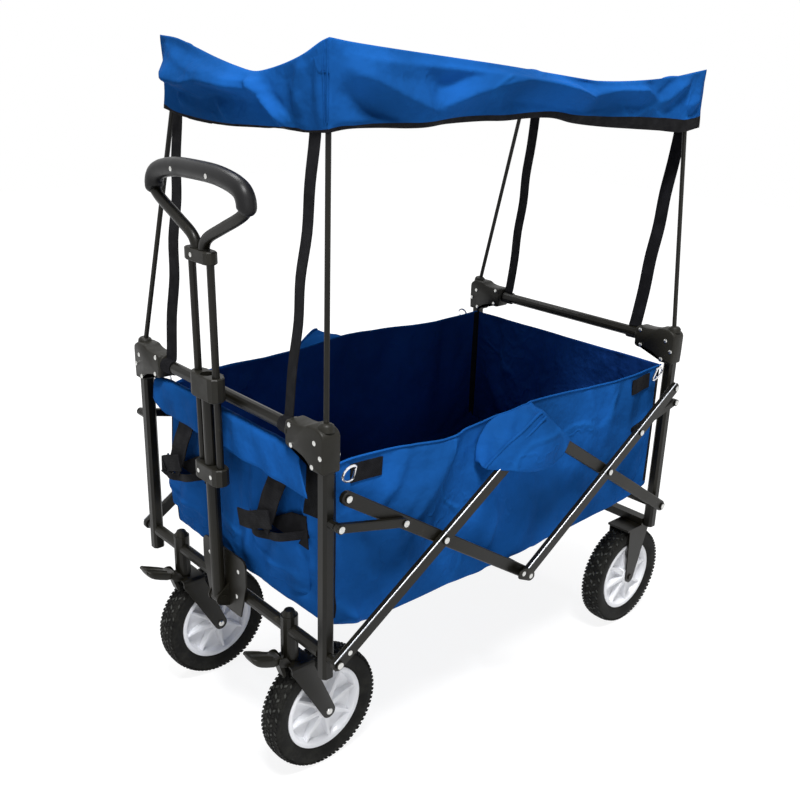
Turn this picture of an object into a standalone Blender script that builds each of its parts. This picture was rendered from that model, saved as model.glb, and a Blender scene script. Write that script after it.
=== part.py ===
"""Folding camping cart with a canopy, as separate pieces at their real size.

Metres, +Z up.  X runs from the handle end (-X, the front) to the rear, Y across,
and the wheels stand on Z = 0.  The cart folds end to end: two scissor chains, one
on each side, draw the rear frame up to the front frame.
"""
import math

import bmesh
import bpy
from mathutils import Matrix, Vector

# Frame
LEG_SPACING = 0.778        # front leg axis to rear leg axis
FRAME_WIDTH = 0.480        # left leg axis to right leg axis
LEG_TUBE = 0.019           # square leg tube, side
LEG_CORNER = 0.004
FRONT_LEG_FOOT = 0.221
REAR_LEG_FOOT = 0.2070
LEG_RISE = 0.013           # top rail's axis to the top of a leg
RAIL_DIAMETER = 0.019
TOP_RAIL_HEIGHT = 0.572
SEAT = 0.0003              # gap between pieces that touch

# Scissor chain
PIVOT_LEVEL = 0.2552       # height of the lower pivots
APEX_RISE = 0.2546         # lower pivots to the apex pivot, opened out
FOLDED_ANGLE = math.radians(78.0)
TOP_ARM = 0.2084           # middle pivot to the free upper end of a link
GUIDE_REACH = 0.096        # middle pivot to the guide link's rivet
LINK_WIDTH = 0.020
LINK_THICKNESS = 0.009
LINK_EDGE = 0.0013
GUIDE_WIDTH = 0.013
LAYER_GAP = 0.0005
LAYER_OFFSET = 0.0035      # leg face to the inner layer of links
PIN_RADIUS = 0.004
PIN_CLEARANCE = 0.0003
PIN_SIDES = 8
RIVET_RADIUS = 0.0065
RIVET_HEIGHT = 0.002

# Corner brackets
BRACKET_WALL = 0.0025      # plastic outside the leg, sideways
BRACKET_DEPTH = 0.030
BRACKET_DROP = 0.039       # top rail's axis down to the bracket's foot
BRACKET_RISE = 0.026       # and up to its top
BRACKET_REACH = 0.072      # leg axis to the end of the rail arm
BRACKET_KNUCKLE = 0.0165   # radius of the arm's end round the rail
SOCKET_RADIUS = 0.0105
SOCKET_RISE = 0.035        # top rail's axis to the top of a post's socket
SOCKET_DEPTH = 0.030

# Canopy and its posts
POST_RADIUS = 0.0038
CANOPY_FRONT_INSET = 0.033 # front leg axis to the canopy's front edge
CANOPY_OVERHANG = 0.060    # rear leg axis to its rear edge
CANOPY_INSET = 0.040       # leg axis to the canopy's side
CANOPY_FRONT_TOP = 1.058
CANOPY_REAR_TOP = 1.034
CANOPY_FRONT_SAG = 0.042   # how far each edge of the top hangs between its corners
CANOPY_REAR_SAG = 0.028
CANOPY_SIDE_SAG = 0.026
CANOPY_FRONT_SKEW = 1.4    # over 1, the lowest place of an edge lies nearer to its far end
CANOPY_SIDE_SKEW = 1.6
CANOPY_CLOTH = 0.003
VALANCE_BILLOW = 0.006     # how far the valance bellies out at half its depth
VALANCE_STIFF = 0.035      # how far from a corner its folds begin
POST_INSET = 0.018         # post top to the canopy corner, along the cart
POST_INSET_ACROSS = 0.024
POST_HEADROOM = 0.005      # post top to the underside of the canopy
STRAP_WIDTH = 0.024
STRAP_THICKNESS = 0.0018
STRAP_CLEARANCE = 0.0015   # end of a bracket's arm to the strap round the rail
STRAP_INSET = 0.038        # canopy's side to the middle of a strap's top
STRAP_OVERLAP = 0.040      # how far a strap runs up inside the valance

# Wheels
WHEEL_RADIUS = 0.098
TYRE_WIDTH = 0.038
RIM_RADIUS = 0.068
RIM_WIDTH = 0.032
HUB_RADIUS = 0.017
HUB_WIDTH = 0.040
RIM_POCKET = 0.0070        # depth of the pockets between the rim's webs
WHEEL_STEPS = 24           # facets round a wheel; every third one is a web
TREAD_HEIGHT = 0.0022
TREAD_ROW = 0.013          # width of the middle row of tread blocks
AXLE_RADIUS = 0.004
FRONT_WHEEL_INSET = 0.086  # leg axis to the middle of a wheel
REAR_WHEEL_INSET = 0.034
REAR_AXLE_X = 0.362
CASTER_TRAIL = 0.054

# Caster forks and their brakes
FORK_GAP = 0.0021          # tyre wall to fork arm
FORK_PLATE = 0.0025
FORK_TOP = 0.0040          # thickness of the plate over the wheel
FORK_RISE = 0.1025         # axle to the underside of that plate
FORK_AXLE_END = 0.0115     # radius of an arm's end round the axle
FORK_SHOULDER = 0.010      # straight part of an arm under the plate
CASTER_PLATE = (0.0135, 0.048)    # that plate's reach ahead of the stem and behind it
CASTER_ARM = (0.0125, 0.042)      # an arm's reach at its top, likewise
REAR_PLATE = (0.050, 0.016)
REAR_ARM = (0.044, 0.015)
REAR_BEAM_WIDTH = 0.019
REAR_BEAM_HEIGHT = 0.014
STEM_RADIUS = 0.0075
HOUSING_RADIUS = 0.013
HOUSING_FOOT = 0.2077
HOUSING_TOP = 0.278
PEDAL_PIVOT = (-0.0225, 0.2130)   # from the stem axis along X, and height
PEDAL_TIP = (-0.0720, 0.2370)
PEDAL_WIDTH = 0.024
PEDAL_THICKNESS = 0.006
BRAKE_GAP = 0.0075

# Handle
HANDLE_PIVOT_HEIGHT = 0.245
HANDLE_TILT = math.radians(0.8)
HANDLE_TUBE_RADIUS = 0.010
HANDLE_TUBE_LENGTH = 0.355
HANDLE_ROD_RADIUS = 0.0055
HANDLE_ROD_SPREAD = 0.024
COLLAR_HEIGHT = 0.036
COLLAR_DEPTH = 0.0135      # half of its depth, front to back
SLIDER_HEIGHT = 0.027
SLIDER_FOOT = 0.197
NECK_FOOT = 0.524
NECK_HEIGHT = 0.018
ROD_SOCKET = 0.0065        # depth of the rods' sockets in the neck, from below
LOOP_SOCKET = 0.0090       # depth of the loop's sockets in the neck, from above
LOOP_RADIUS = 0.0080
LOOP_FOOT_Y = 0.0105       # each leg of the loop in the neck
LOOP_HALF_WIDTH = 0.118
LOOP_HEIGHT = 0.108        # neck to the middle of the grip
GRIP_RADIUS = 0.0150
ROUTE_STEPS = 2            # bends of the loop, steps from one route point to the next
MOUNT_PLATE = 0.003
MOUNT_HALF_WIDTH = 0.060
MOUNT_FOOT = 0.222
MOUNT_TOP = 0.325
EAR_GAP = 0.0105           # pivot ears, half of the gap between them

# Fabric body
BAG_CLOTH = 0.003
BAG_DROP = 0.042           # top rail's axis down to the bag's rim
BAG_RIM_DIP = 0.008
BAG_FLOOR = 0.2650
BAG_END_RISE = 0.026       # the floor's ends pass over the caster bearings
PANEL_DROP = 0.040         # and down to the top of its end panels
PANEL_FOOT = 0.294
POCKET_RADIUS = 0.056
POCKET_INSET = 0.116       # leg axis to the middle of a pocket
POCKET_TOP = 0.415
POCKET_FOOT = 0.318
POCKET_STAND = 0.010       # how far a pocket stands out in front of the legs

HALF_SPACING = LEG_SPACING / 2
HALF_WIDTH = FRAME_WIDTH / 2
LEG_TOP = TOP_RAIL_HEIGHT + LEG_RISE
BRACKET_FOOT = TOP_RAIL_HEIGHT - BRACKET_DROP
BRACKET_TOP = TOP_RAIL_HEIGHT + BRACKET_RISE
SOCKET_TOP = TOP_RAIL_HEIGHT + SOCKET_RISE
BAG_RIM = TOP_RAIL_HEIGHT - BAG_DROP
PANEL_TOP = TOP_RAIL_HEIGHT - PANEL_DROP
CANOPY_FRONT_X = -HALF_SPACING + CANOPY_FRONT_INSET
CANOPY_REAR_X = HALF_SPACING + CANOPY_OVERHANG
CANOPY_WIDTH = FRAME_WIDTH - 2 * CANOPY_INSET
STRAP_FOOT_Y = HALF_WIDTH - BRACKET_REACH - STRAP_CLEARANCE - STRAP_WIDTH / 2
STRAP_TOP_Y = CANOPY_WIDTH / 2 - STRAP_INSET
FRONT_WHEEL_Y = HALF_WIDTH - FRONT_WHEEL_INSET
REAR_WHEEL_Y = HALF_WIDTH - REAR_WHEEL_INSET
POCKET_Y = HALF_WIDTH - POCKET_INSET
LEG_FACE = HALF_WIDTH + LEG_TUBE / 2
LEG_INNER_FACE = HALF_WIDTH - LEG_TUBE / 2
REST_ANGLE = math.atan2(APEX_RISE, HALF_SPACING)
HALF_LINK = HALF_SPACING / 2 / math.cos(REST_ANGLE)
INNER_LAYER = LEG_FACE + LAYER_OFFSET + LINK_THICKNESS / 2
OUTER_LAYER = INNER_LAYER + LINK_THICKNESS + LAYER_GAP
RAIL_RADIUS = RAIL_DIAMETER / 2
COLLAR_FOOT = TOP_RAIL_HEIGHT - HANDLE_PIVOT_HEIGHT
HANDLE_X = -HALF_SPACING - RAIL_RADIUS - SEAT - MOUNT_PLATE - 0.0007 - HANDLE_TUBE_RADIUS

LEFT = -1
RIGHT = 1
SIDES = ((LEFT, "left"), (RIGHT, "right"))


def guide_height():
    """Height of the guide link's leg pivot over the lower pivots.

    It is the height at which the guide link is as long folded as opened out.
    """
    rise = math.sin(REST_ANGLE) + math.sin(FOLDED_ANGLE)
    return 2 * HALF_LINK * GUIDE_REACH * rise / (HALF_LINK + GUIDE_REACH)


def guide_end(angle):
    """Where the guide link's rivet lies from the lower pivot, for a link angle."""
    along = (HALF_LINK - GUIDE_REACH) * math.cos(angle)
    up = (HALF_LINK + GUIDE_REACH) * math.sin(angle)
    return along, up


GUIDE_HEIGHT = guide_height()


def new_collection(name):
    collection = bpy.data.collections.new(name)
    bpy.context.scene.collection.children.link(collection)
    return collection


for old in list(bpy.data.objects):
    bpy.data.objects.remove(old, do_unlink=True)
PARTS = new_collection("folding_camping_cart")
TOOLS = new_collection("cutters")


def make_material(name, colour, roughness, metallic=0.0):
    material = bpy.data.materials.new(name)
    material.use_nodes = True
    shader = material.node_tree.nodes["Principled BSDF"]
    shader.inputs["Base Color"].default_value = (*colour, 1.0)
    shader.inputs["Roughness"].default_value = roughness
    shader.inputs["Metallic"].default_value = metallic
    return material


STEEL = make_material("coated_steel", (0.035, 0.033, 0.026), 0.42, 0.3)
PLASTIC = make_material("black_plastic", (0.028, 0.027, 0.022), 0.5)
GRIP = make_material("grip_plastic", (0.015, 0.015, 0.015), 0.45)
RUBBER = make_material("tyre_rubber", (0.022, 0.022, 0.022), 0.8)
RIM = make_material("white_plastic", (0.80, 0.81, 0.83), 0.4)
CLOTH = make_material("blue_polyester", (0.015, 0.10, 0.42), 0.6)
WEBBING = make_material("black_webbing", (0.012, 0.012, 0.012), 0.85)


def place(mesh, name, material, location=(0, 0, 0), tool=False, parent=None):
    """Make the object of a mesh.  A tool only cuts or joins and isn't a part."""
    obj = bpy.data.objects.new(name, mesh)
    obj.location = location
    if material and not mesh.materials:
        mesh.materials.append(material)
    (TOOLS if tool else PARTS).objects.link(obj)
    if tool:
        obj.hide_render = True
        obj.display_type = "WIRE"
    if parent:
        obj.parent = parent
    return obj


def to_mesh(bm, name, smooth=True):
    bmesh.ops.recalc_face_normals(bm, faces=bm.faces)
    mesh = bpy.data.meshes.new(name)
    bm.to_mesh(mesh)
    bm.free()
    if smooth:
        mesh.shade_smooth()
        mesh.set_sharp_from_angle(angle=math.radians(35))
    return mesh


def box(name, low, high, material=None, origin=(0, 0, 0), tool=False, parent=None):
    """A box from its lowest and highest corners; its object stands at origin."""
    low, high, origin = Vector(low), Vector(high), Vector(origin)
    bm = bmesh.new()
    bmesh.ops.create_cube(bm, size=1.0)
    bmesh.ops.scale(bm, vec=high - low, verts=bm.verts)
    bmesh.ops.translate(bm, vec=(low + high) / 2 - origin, verts=bm.verts)
    return place(to_mesh(bm, name), name, material, origin, tool, parent)


def rod(name, start, end, radius, material=None, origin=(0, 0, 0), sides=14,
        end_radius=None, tool=False, parent=None):
    """A round bar, or a cone where end_radius is given."""
    start, end, origin = Vector(start), Vector(end), Vector(origin)
    run = end - start
    turn = Vector((0, 0, 1)).rotation_difference(run).to_matrix().to_4x4()
    bm = bmesh.new()
    bmesh.ops.create_cone(
        bm, cap_ends=True, segments=sides, radius1=radius,
        radius2=radius if end_radius is None else end_radius, depth=run.length,
        matrix=Matrix.Translation((start + end) / 2 - origin) @ turn)
    return place(to_mesh(bm, name), name, material, origin, tool, parent)


def curve_to_mesh(curve, name, material, matrix, origin, tool, parent):
    """Turn a curve object's solid into a welded mesh object standing at origin."""
    source = bpy.data.objects.new(name + "_curve", curve)
    bpy.context.scene.collection.objects.link(source)
    source.matrix_world = matrix
    bpy.context.view_layer.update()
    graph = bpy.context.evaluated_depsgraph_get()
    mesh = bpy.data.meshes.new_from_object(source.evaluated_get(graph))
    bm = bmesh.new()
    bm.from_mesh(mesh)
    bmesh.ops.transform(bm, matrix=Matrix.Translation(-Vector(origin)) @ matrix, verts=bm.verts)
    bmesh.ops.remove_doubles(bm, verts=bm.verts, dist=0.00002)
    bpy.data.objects.remove(source, do_unlink=True)
    return place(to_mesh(bm, name), name, material, origin, tool, parent)


# Matrices that stand a flat outline up: (u, v) become the two axes named
ACROSS = Matrix(((0, 0, 1, 0), (1, 0, 0, 0), (0, 1, 0, 0), (0, 0, 0, 1)))   # u = Y, v = Z
ALONG = Matrix(((1, 0, 0, 0), (0, 0, -1, 0), (0, 1, 0, 0), (0, 0, 0, 1)))   # u = X, v = Z
LEVEL = Matrix.Identity(4)                                                 # u = X, v = Y


def plate(name, outline, thickness, plane, centre, material=None, origin=(0, 0, 0),
          tool=False, parent=None, edge=0):
    """A flat outline with a thickness and chamfered edges, in a plane through centre."""
    curve = bpy.data.curves.new(name, "CURVE")
    curve.dimensions = "2D"
    curve.fill_mode = "BOTH"
    curve.extrude = thickness / 2 - edge
    curve.bevel_depth = edge
    curve.bevel_resolution = 0
    curve.offset = -edge
    spline = curve.splines.new("POLY")
    spline.points.add(len(outline) - 1)
    for point, (u, v) in zip(spline.points, outline):
        point.co = (u, v, 0, 1)
    spline.use_cyclic_u = True
    matrix = Matrix.Translation(centre) @ plane
    return curve_to_mesh(curve, name, material, matrix, origin, tool, parent)


def tube(name, points, radius, material=None, origin=(0, 0, 0), resolution=2,
         tool=False, parent=None):
    """A round bar that follows a route."""
    curve = bpy.data.curves.new(name, "CURVE")
    curve.dimensions = "3D"
    curve.bevel_depth = radius
    curve.bevel_resolution = resolution
    curve.use_fill_caps = True
    spline = curve.splines.new("POLY")
    spline.points.add(len(points) - 1)
    for point, place_at in zip(spline.points, points):
        point.co = (*place_at, 1)
    return curve_to_mesh(curve, name, material, Matrix.Identity(4), origin, tool, parent)


def arc(centre, radius, start, end, steps):
    """Points on an arc, from one angle in degrees to another."""
    points = []
    for step in range(steps + 1):
        angle = math.radians(start + (end - start) * step / steps)
        points.append((centre[0] + radius * math.cos(angle), centre[1] + radius * math.sin(angle)))
    return points


def stadium(half_length, radius, steps=6):
    """A bar with round ends, lying along u."""
    right = arc((half_length, 0), radius, -90, 90, steps)
    left = arc((-half_length, 0), radius, 90, 270, steps)
    return right + left


def rounded_square(side, corner, steps=2):
    half = side / 2 - corner
    points = []
    for index, (u, v) in enumerate(((half, half), (-half, half), (-half, -half), (half, -half))):
        points += arc((u, v), corner, 90 * index, 90 * index + 90, steps)
    return points


def smooth_route(points, steps):
    """A Catmull-Rom curve through the points."""
    ends = [points[0] * 2 - points[1]] + list(points) + [points[-1] * 2 - points[-2]]
    route = []
    for index in range(1, len(ends) - 2):
        before, start, end, after = ends[index - 1:index + 3]
        for step in range(steps):
            t = step / steps
            route.append(0.5 * (2 * start + (end - before) * t
                                + (2 * before - 5 * start + 4 * end - after) * t ** 2
                                + (3 * start - before - 3 * end + after) * t ** 3))
    route.append(points[-1].copy())
    return route


def boolean(obj, tool, operation, solver="EXACT"):
    modifier = obj.modifiers.new(operation.lower(), "BOOLEAN")
    modifier.operation = operation
    modifier.solver = solver
    modifier.object = tool
    if tool.parent is None and obj.parent is not None:
        tool.parent = obj.parent
    return obj


def cut(obj, *tools):
    for tool in tools:
        boolean(obj, tool, "DIFFERENCE")


def join(obj, *tools):
    for tool in tools:
        boolean(obj, tool, "UNION")


def soften(obj, width, segments=2, angle=40):
    modifier = obj.modifiers.new("rounded_edges", "BEVEL")
    modifier.width = width
    modifier.segments = segments
    modifier.limit_method = "ANGLE"
    modifier.angle_limit = math.radians(angle)
    return obj


def pin(name, side, x, z, start, end, radius, origin=(0, 0, 0), sides=PIN_SIDES):
    """A round tool across the cart, between two distances from its middle."""
    return rod(name, (x, side * start, z), (x, side * end, z), radius, origin=origin,
               sides=sides, tool=True)


def pivot_pin(obj, side, x, z, foot, spacer_to, through):
    """Join a rivet to a piece: spacer, shank through the next layer, and head."""
    name = obj.name
    spacer_end = spacer_to - SEAT
    head = through + SEAT
    if spacer_end > foot + LAYER_GAP:
        join(obj, pin(name + "_spacer", side, x, z, foot - 0.001, spacer_end, RIVET_RADIUS))
    join(obj, pin(name + "_shank", side, x, z, foot - 0.003, head + 0.001, PIN_RADIUS))
    join(obj, pin(name + "_head", side, x, z, head, head + RIVET_HEIGHT, RIVET_RADIUS, sides=10))


def inner_faces():
    return INNER_LAYER - LINK_THICKNESS / 2, INNER_LAYER + LINK_THICKNESS / 2


def outer_faces():
    return OUTER_LAYER - LINK_THICKNESS / 2, OUTER_LAYER + LINK_THICKNESS / 2


def build_leg(name, side, x, foot, layer_faces):
    """A square leg tube with the rivets that carry a long link and a guide link."""
    outline = rounded_square(LEG_TUBE, LEG_CORNER, 1)
    middle = (x, side * HALF_WIDTH, (foot + LEG_TOP) / 2)
    leg = plate(name, outline, LEG_TOP - foot, LEVEL, middle, STEEL, origin=(x, side * HALF_WIDTH, foot))
    for height in (PIVOT_LEVEL, PIVOT_LEVEL + GUIDE_HEIGHT):
        pivot_pin(leg, side, x, height, LEG_FACE, layer_faces[0], layer_faces[1])
    return leg


def build_link(name, side, layer, pivot, direction, reach_back, reach_ahead, width=LINK_WIDTH):
    """A flat tube with round ends through a pivot, at an angle in the XZ plane."""
    half = (reach_back + reach_ahead) / 2
    centre = pivot + Vector((math.cos(direction), 0, math.sin(direction))) * (reach_ahead - reach_back) / 2
    turn = Matrix.Rotation(-direction, 4, "Y") @ ALONG
    origin = (pivot.x, side * layer, pivot.z)
    return plate(name, stadium(half, width / 2, 5), LINK_THICKNESS, turn,
                 (centre.x, side * layer, centre.z), STEEL, origin=origin, edge=LINK_EDGE)


def drill(link, side, spots):
    """Holes whose flat sides clear the corners of a pin that turns in them."""
    radius = (PIN_RADIUS + PIN_CLEARANCE) / math.cos(math.pi / PIN_SIDES)
    for x, z in spots:
        cut(link, pin(link.name + "_hole", side, x, z, INNER_LAYER - LINK_THICKNESS,
                      OUTER_LAYER + LINK_THICKNESS, radius))


def face_rivet(link, side, x, z, face):
    """A rivet head on the outer face of a link.  The exact solver leaves a slit here."""
    head = pin(link.name + "_rivet", side, x, z, face - LINK_THICKNESS / 2, face + RIVET_HEIGHT,
               RIVET_RADIUS * 0.8)
    boolean(link, head, "UNION", "MANIFOLD")


def build_scissor(side, word):
    """The four long links and two guide links of one side of the cart."""
    up = REST_ANGLE
    step = HALF_SPACING / 2
    low = PIVOT_LEVEL
    middle = PIVOT_LEVEL + APEX_RISE / 2
    front_foot = Vector((-HALF_SPACING, 0, low))
    front_middle = Vector((-step, 0, middle))
    centre_foot = Vector((0, 0, low))
    rear_middle = Vector((step, 0, middle))
    apex = (0, low + APEX_RISE)
    inner, outer = inner_faces(), outer_faces()

    front_rising = build_link(f"{word}_front_rising_link", side, OUTER_LAYER, front_foot, up,
                              0, 2 * HALF_LINK)
    drill(front_rising, side, ((front_foot.x, low), (front_middle.x, middle), apex))

    front_falling = build_link(f"{word}_front_falling_link", side, INNER_LAYER, front_middle, -up,
                               TOP_ARM, HALF_LINK)
    for spot in (front_middle, centre_foot):
        pivot_pin(front_falling, side, spot.x, spot.z, inner[1], outer[0], outer[1])
    top_x = front_middle.x - TOP_ARM * math.cos(up)
    top_z = middle + TOP_ARM * math.sin(up)
    face_rivet(front_falling, side, top_x, top_z, inner[1])

    rear_rising = build_link(f"{word}_rear_rising_link", side, OUTER_LAYER, centre_foot, up,
                             0, HALF_LINK + TOP_ARM)
    drill(rear_rising, side, ((0, low), (rear_middle.x, middle)))
    face_rivet(rear_rising, side, -top_x, top_z, outer[1])

    rear_falling = build_link(f"{word}_rear_falling_link", side, INNER_LAYER, rear_middle, -up,
                              HALF_LINK, HALF_LINK)
    pivot_pin(rear_falling, side, rear_middle.x, middle, inner[1], outer[0], outer[1])
    pivot_pin(rear_falling, side, apex[0], apex[1], inner[1], outer[0], outer[1])
    drill(rear_falling, side, ((HALF_SPACING, low),))

    along, rise = guide_end(up)
    length = math.hypot(along, rise - GUIDE_HEIGHT)
    slope = math.atan2(rise - GUIDE_HEIGHT, along)
    for end, layer, faces, direction in (
            ("front", OUTER_LAYER, outer, slope), ("rear", INNER_LAYER, inner, math.pi - slope)):
        x = -HALF_SPACING if end == "front" else HALF_SPACING
        pivot = Vector((x, 0, low + GUIDE_HEIGHT))
        guide = build_link(f"{word}_{end}_guide_link", side, layer, pivot, direction, 0, length,
                           GUIDE_WIDTH)
        drill(guide, side, ((x, pivot.z),))
        rivet_x = x + length * math.cos(direction)
        rivet_z = pivot.z + length * math.sin(direction)
        if end == "front":
            face_rivet(guide, side, rivet_x, rivet_z, faces[1])
        else:
            face_rivet(rear_rising, side, rivet_x, rivet_z, outer[1])


def hang(share, skew=1.0):
    """0 at both ends of a cloth edge and 1 where it hangs lowest."""
    return math.sin(math.pi * min(max(share, 0.0), 1.0) ** skew) ** 0.8


def canopy_height(x, y):
    """Height of the canopy's top sheet: tight at its corners, its edges hanging between."""
    u = (x - CANOPY_FRONT_X) / (CANOPY_REAR_X - CANOPY_FRONT_X)
    v = 0.5 - y / CANOPY_WIDTH
    corner = CANOPY_FRONT_TOP + (CANOPY_REAR_TOP - CANOPY_FRONT_TOP) * u
    front = CANOPY_FRONT_TOP - CANOPY_FRONT_SAG * hang(v, CANOPY_FRONT_SKEW)
    rear = CANOPY_REAR_TOP - CANOPY_REAR_SAG * hang(v)
    side = corner - CANOPY_SIDE_SAG * hang(u, CANOPY_SIDE_SKEW)
    return side + front * (1 - u) + rear * u - corner


def post_line(side, x):
    """A canopy post's foot and top: it plugs in over the leg and leans inwards."""
    foot = Vector((x, side * HALF_WIDTH, SOCKET_TOP - SOCKET_DEPTH + 0.010))
    edge = CANOPY_FRONT_X + POST_INSET if x < 0 else CANOPY_REAR_X - POST_INSET
    across = side * (CANOPY_WIDTH / 2 - POST_INSET_ACROSS)
    top_z = canopy_height(edge, across) - CANOPY_CLOTH - POST_HEADROOM
    return foot, Vector((edge, across, top_z))


def build_bracket(name, side, x):
    """The moulded corner piece: leg socket, rail arm with a round end, post socket."""
    outer = -(LEG_TUBE / 2 + BRACKET_WALL)
    throat = 0.0145
    arm_centre = (BRACKET_REACH - BRACKET_KNUCKLE, TOP_RAIL_HEIGHT)
    outline = [(throat, BRACKET_FOOT + 0.004), (throat + 0.0005, BRACKET_FOOT + 0.012)]
    hollow = TOP_RAIL_HEIGHT - RAIL_RADIUS - SEAT - BRACKET_WALL - BRACKET_FOOT - 0.006
    outline += arc((throat + 0.004 + hollow * 0.87, BRACKET_FOOT + 0.006), hollow, 150, 95, 4)
    outline += arc(arm_centre, BRACKET_KNUCKLE, -90, 90, 6)
    outline += [(0.030, TOP_RAIL_HEIGHT + 0.0155), (0.016, BRACKET_TOP)]
    outline += arc((outer + 0.007, BRACKET_TOP - 0.007), 0.007, 90, 180, 2)
    outline += arc((outer + 0.004, BRACKET_FOOT + 0.004), 0.004, 180, 270, 1)
    outline += arc((throat - 0.004, BRACKET_FOOT + 0.004), 0.004, 270, 350, 1)
    outline = [(side * (HALF_WIDTH - u), v) for u, v in outline]
    if side < 0:
        outline.reverse()
    bracket = plate(name, outline, BRACKET_DEPTH, ACROSS, (x, 0, 0), PLASTIC,
                    origin=(x, side * HALF_WIDTH, TOP_RAIL_HEIGHT))
    soften(bracket, 0.002, 1, 60)
    foot, top = post_line(side, x)
    along = (top - foot).normalized()
    collar_top = foot + along * (SOCKET_DEPTH - 0.010)
    collar = rod(name + "_socket", foot + along * 0.004, collar_top, SOCKET_RADIUS + 0.001,
                 end_radius=SOCKET_RADIUS - 0.001, tool=True)
    join(bracket, collar)
    slack = LEG_TUBE / 2 + SEAT
    leg_hole = box(name + "_leg_hole", (x - slack, side * HALF_WIDTH - slack, FRONT_LEG_FOOT),
                   (x + slack, side * HALF_WIDTH + slack, LEG_TOP + SEAT), tool=True)
    rail_end = HALF_WIDTH - LEG_TUBE / 2 - 0.002
    rail_hole = rod(name + "_rail_hole", (x, 0, TOP_RAIL_HEIGHT),
                    (x, side * (rail_end + SEAT), TOP_RAIL_HEIGHT), RAIL_RADIUS + SEAT, tool=True)
    post_hole = rod(name + "_post_hole", foot - along * SEAT, top, POST_RADIUS + SEAT, sides=12,
                    tool=True)
    cut(bracket, leg_hole, rail_hole, post_hole)
    return bracket


def build_frames():
    """Legs, rails and corner brackets of the front and the rear frame."""
    for side, word in SIDES:
        build_leg(f"front_{word}_leg", side, -HALF_SPACING, FRONT_LEG_FOOT, outer_faces())
        build_leg(f"rear_{word}_leg", side, HALF_SPACING, REAR_LEG_FOOT, inner_faces())
        build_bracket(f"front_{word}_bracket", side, -HALF_SPACING)
        build_bracket(f"rear_{word}_bracket", side, HALF_SPACING)
    rail_end = HALF_WIDTH - LEG_TUBE / 2 - 0.002
    for end, x in (("front", -HALF_SPACING), ("rear", HALF_SPACING)):
        rod(f"{end}_top_rail", (x, -rail_end, TOP_RAIL_HEIGHT), (x, rail_end, TOP_RAIL_HEIGHT),
            RAIL_RADIUS, STEEL, origin=(x, 0, TOP_RAIL_HEIGHT))
    low_end = LEG_INNER_FACE - SEAT
    rod("rear_lower_rail", (HALF_SPACING, -low_end, PIVOT_LEVEL), (HALF_SPACING, low_end, PIVOT_LEVEL),
        RAIL_RADIUS, STEEL, origin=(HALF_SPACING, 0, PIVOT_LEVEL))
    tube_end = inner_faces()[0] - SEAT
    rod("centre_cross_tube", (0, -tube_end, PIVOT_LEVEL), (0, tube_end, PIVOT_LEVEL),
        RAIL_RADIUS, STEEL, origin=(0, 0, PIVOT_LEVEL))


def build_caster_beam():
    """The front lower tube with the two upright bearings of the casters."""
    x = -HALF_SPACING
    low_end = LEG_INNER_FACE - SEAT
    beam = rod("front_caster_beam", (x, -low_end, PIVOT_LEVEL), (x, low_end, PIVOT_LEVEL),
               RAIL_RADIUS, STEEL, origin=(x, 0, PIVOT_LEVEL))
    for side, word in SIDES:
        y = side * FRONT_WHEEL_Y
        join(beam, rod(f"{word}_bearing", (x, y, HOUSING_FOOT), (x, y, HOUSING_TOP), HOUSING_RADIUS,
                       tool=True))
        join(beam, rod(f"{word}_bearing_cap", (x, y, HOUSING_TOP - 0.001), (x, y, HOUSING_TOP + 0.008),
                       HOUSING_RADIUS - 0.001, end_radius=HOUSING_RADIUS * 0.55, tool=True))
    for side, word in SIDES:
        y = side * FRONT_WHEEL_Y
        cut(beam, rod(f"{word}_bore", (x, y, HOUSING_FOOT - 0.005), (x, y, HOUSING_TOP - 0.005),
                      STEM_RADIUS + SEAT, sides=16, tool=True))


def fork_arm(name, side_y, axle_x, top_low, top_high, plate_top):
    """One side plate of a fork: wide at the top, round at the axle."""
    axle = (axle_x, WHEEL_RADIUS)
    ahead = math.degrees(math.atan2(plate_top - WHEEL_RADIUS, top_high - axle_x)) - 90
    behind = math.degrees(math.atan2(plate_top - WHEEL_RADIUS, top_low - axle_x)) + 90
    outline = [(top_low, plate_top), (top_low, plate_top - FORK_SHOULDER)]
    outline += arc(axle, FORK_AXLE_END, behind, ahead + 360, 8)
    outline += [(top_high, plate_top - FORK_SHOULDER), (top_high, plate_top)]
    return plate(name, outline, FORK_PLATE, ALONG, (0, side_y, 0), tool=True)


def arm_offset():
    return TYRE_WIDTH / 2 + FORK_GAP + FORK_PLATE / 2


def fit_axle(fork, y, axle_x):
    """The axle bolt through both arms, with its head and its nut."""
    reach = arm_offset() + FORK_PLATE / 2
    join(fork, rod(fork.name + "_axle", (axle_x, y - reach - 0.0004, WHEEL_RADIUS),
                   (axle_x, y + reach + 0.0004, WHEEL_RADIUS), AXLE_RADIUS, sides=12, tool=True))
    for turn in (-1, 1):
        join(fork, rod(fork.name + "_nut", (axle_x, y + turn * (reach - 0.001), WHEEL_RADIUS),
                       (axle_x, y + turn * (reach + 0.0022), WHEEL_RADIUS), 0.0065, sides=6, tool=True))


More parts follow.
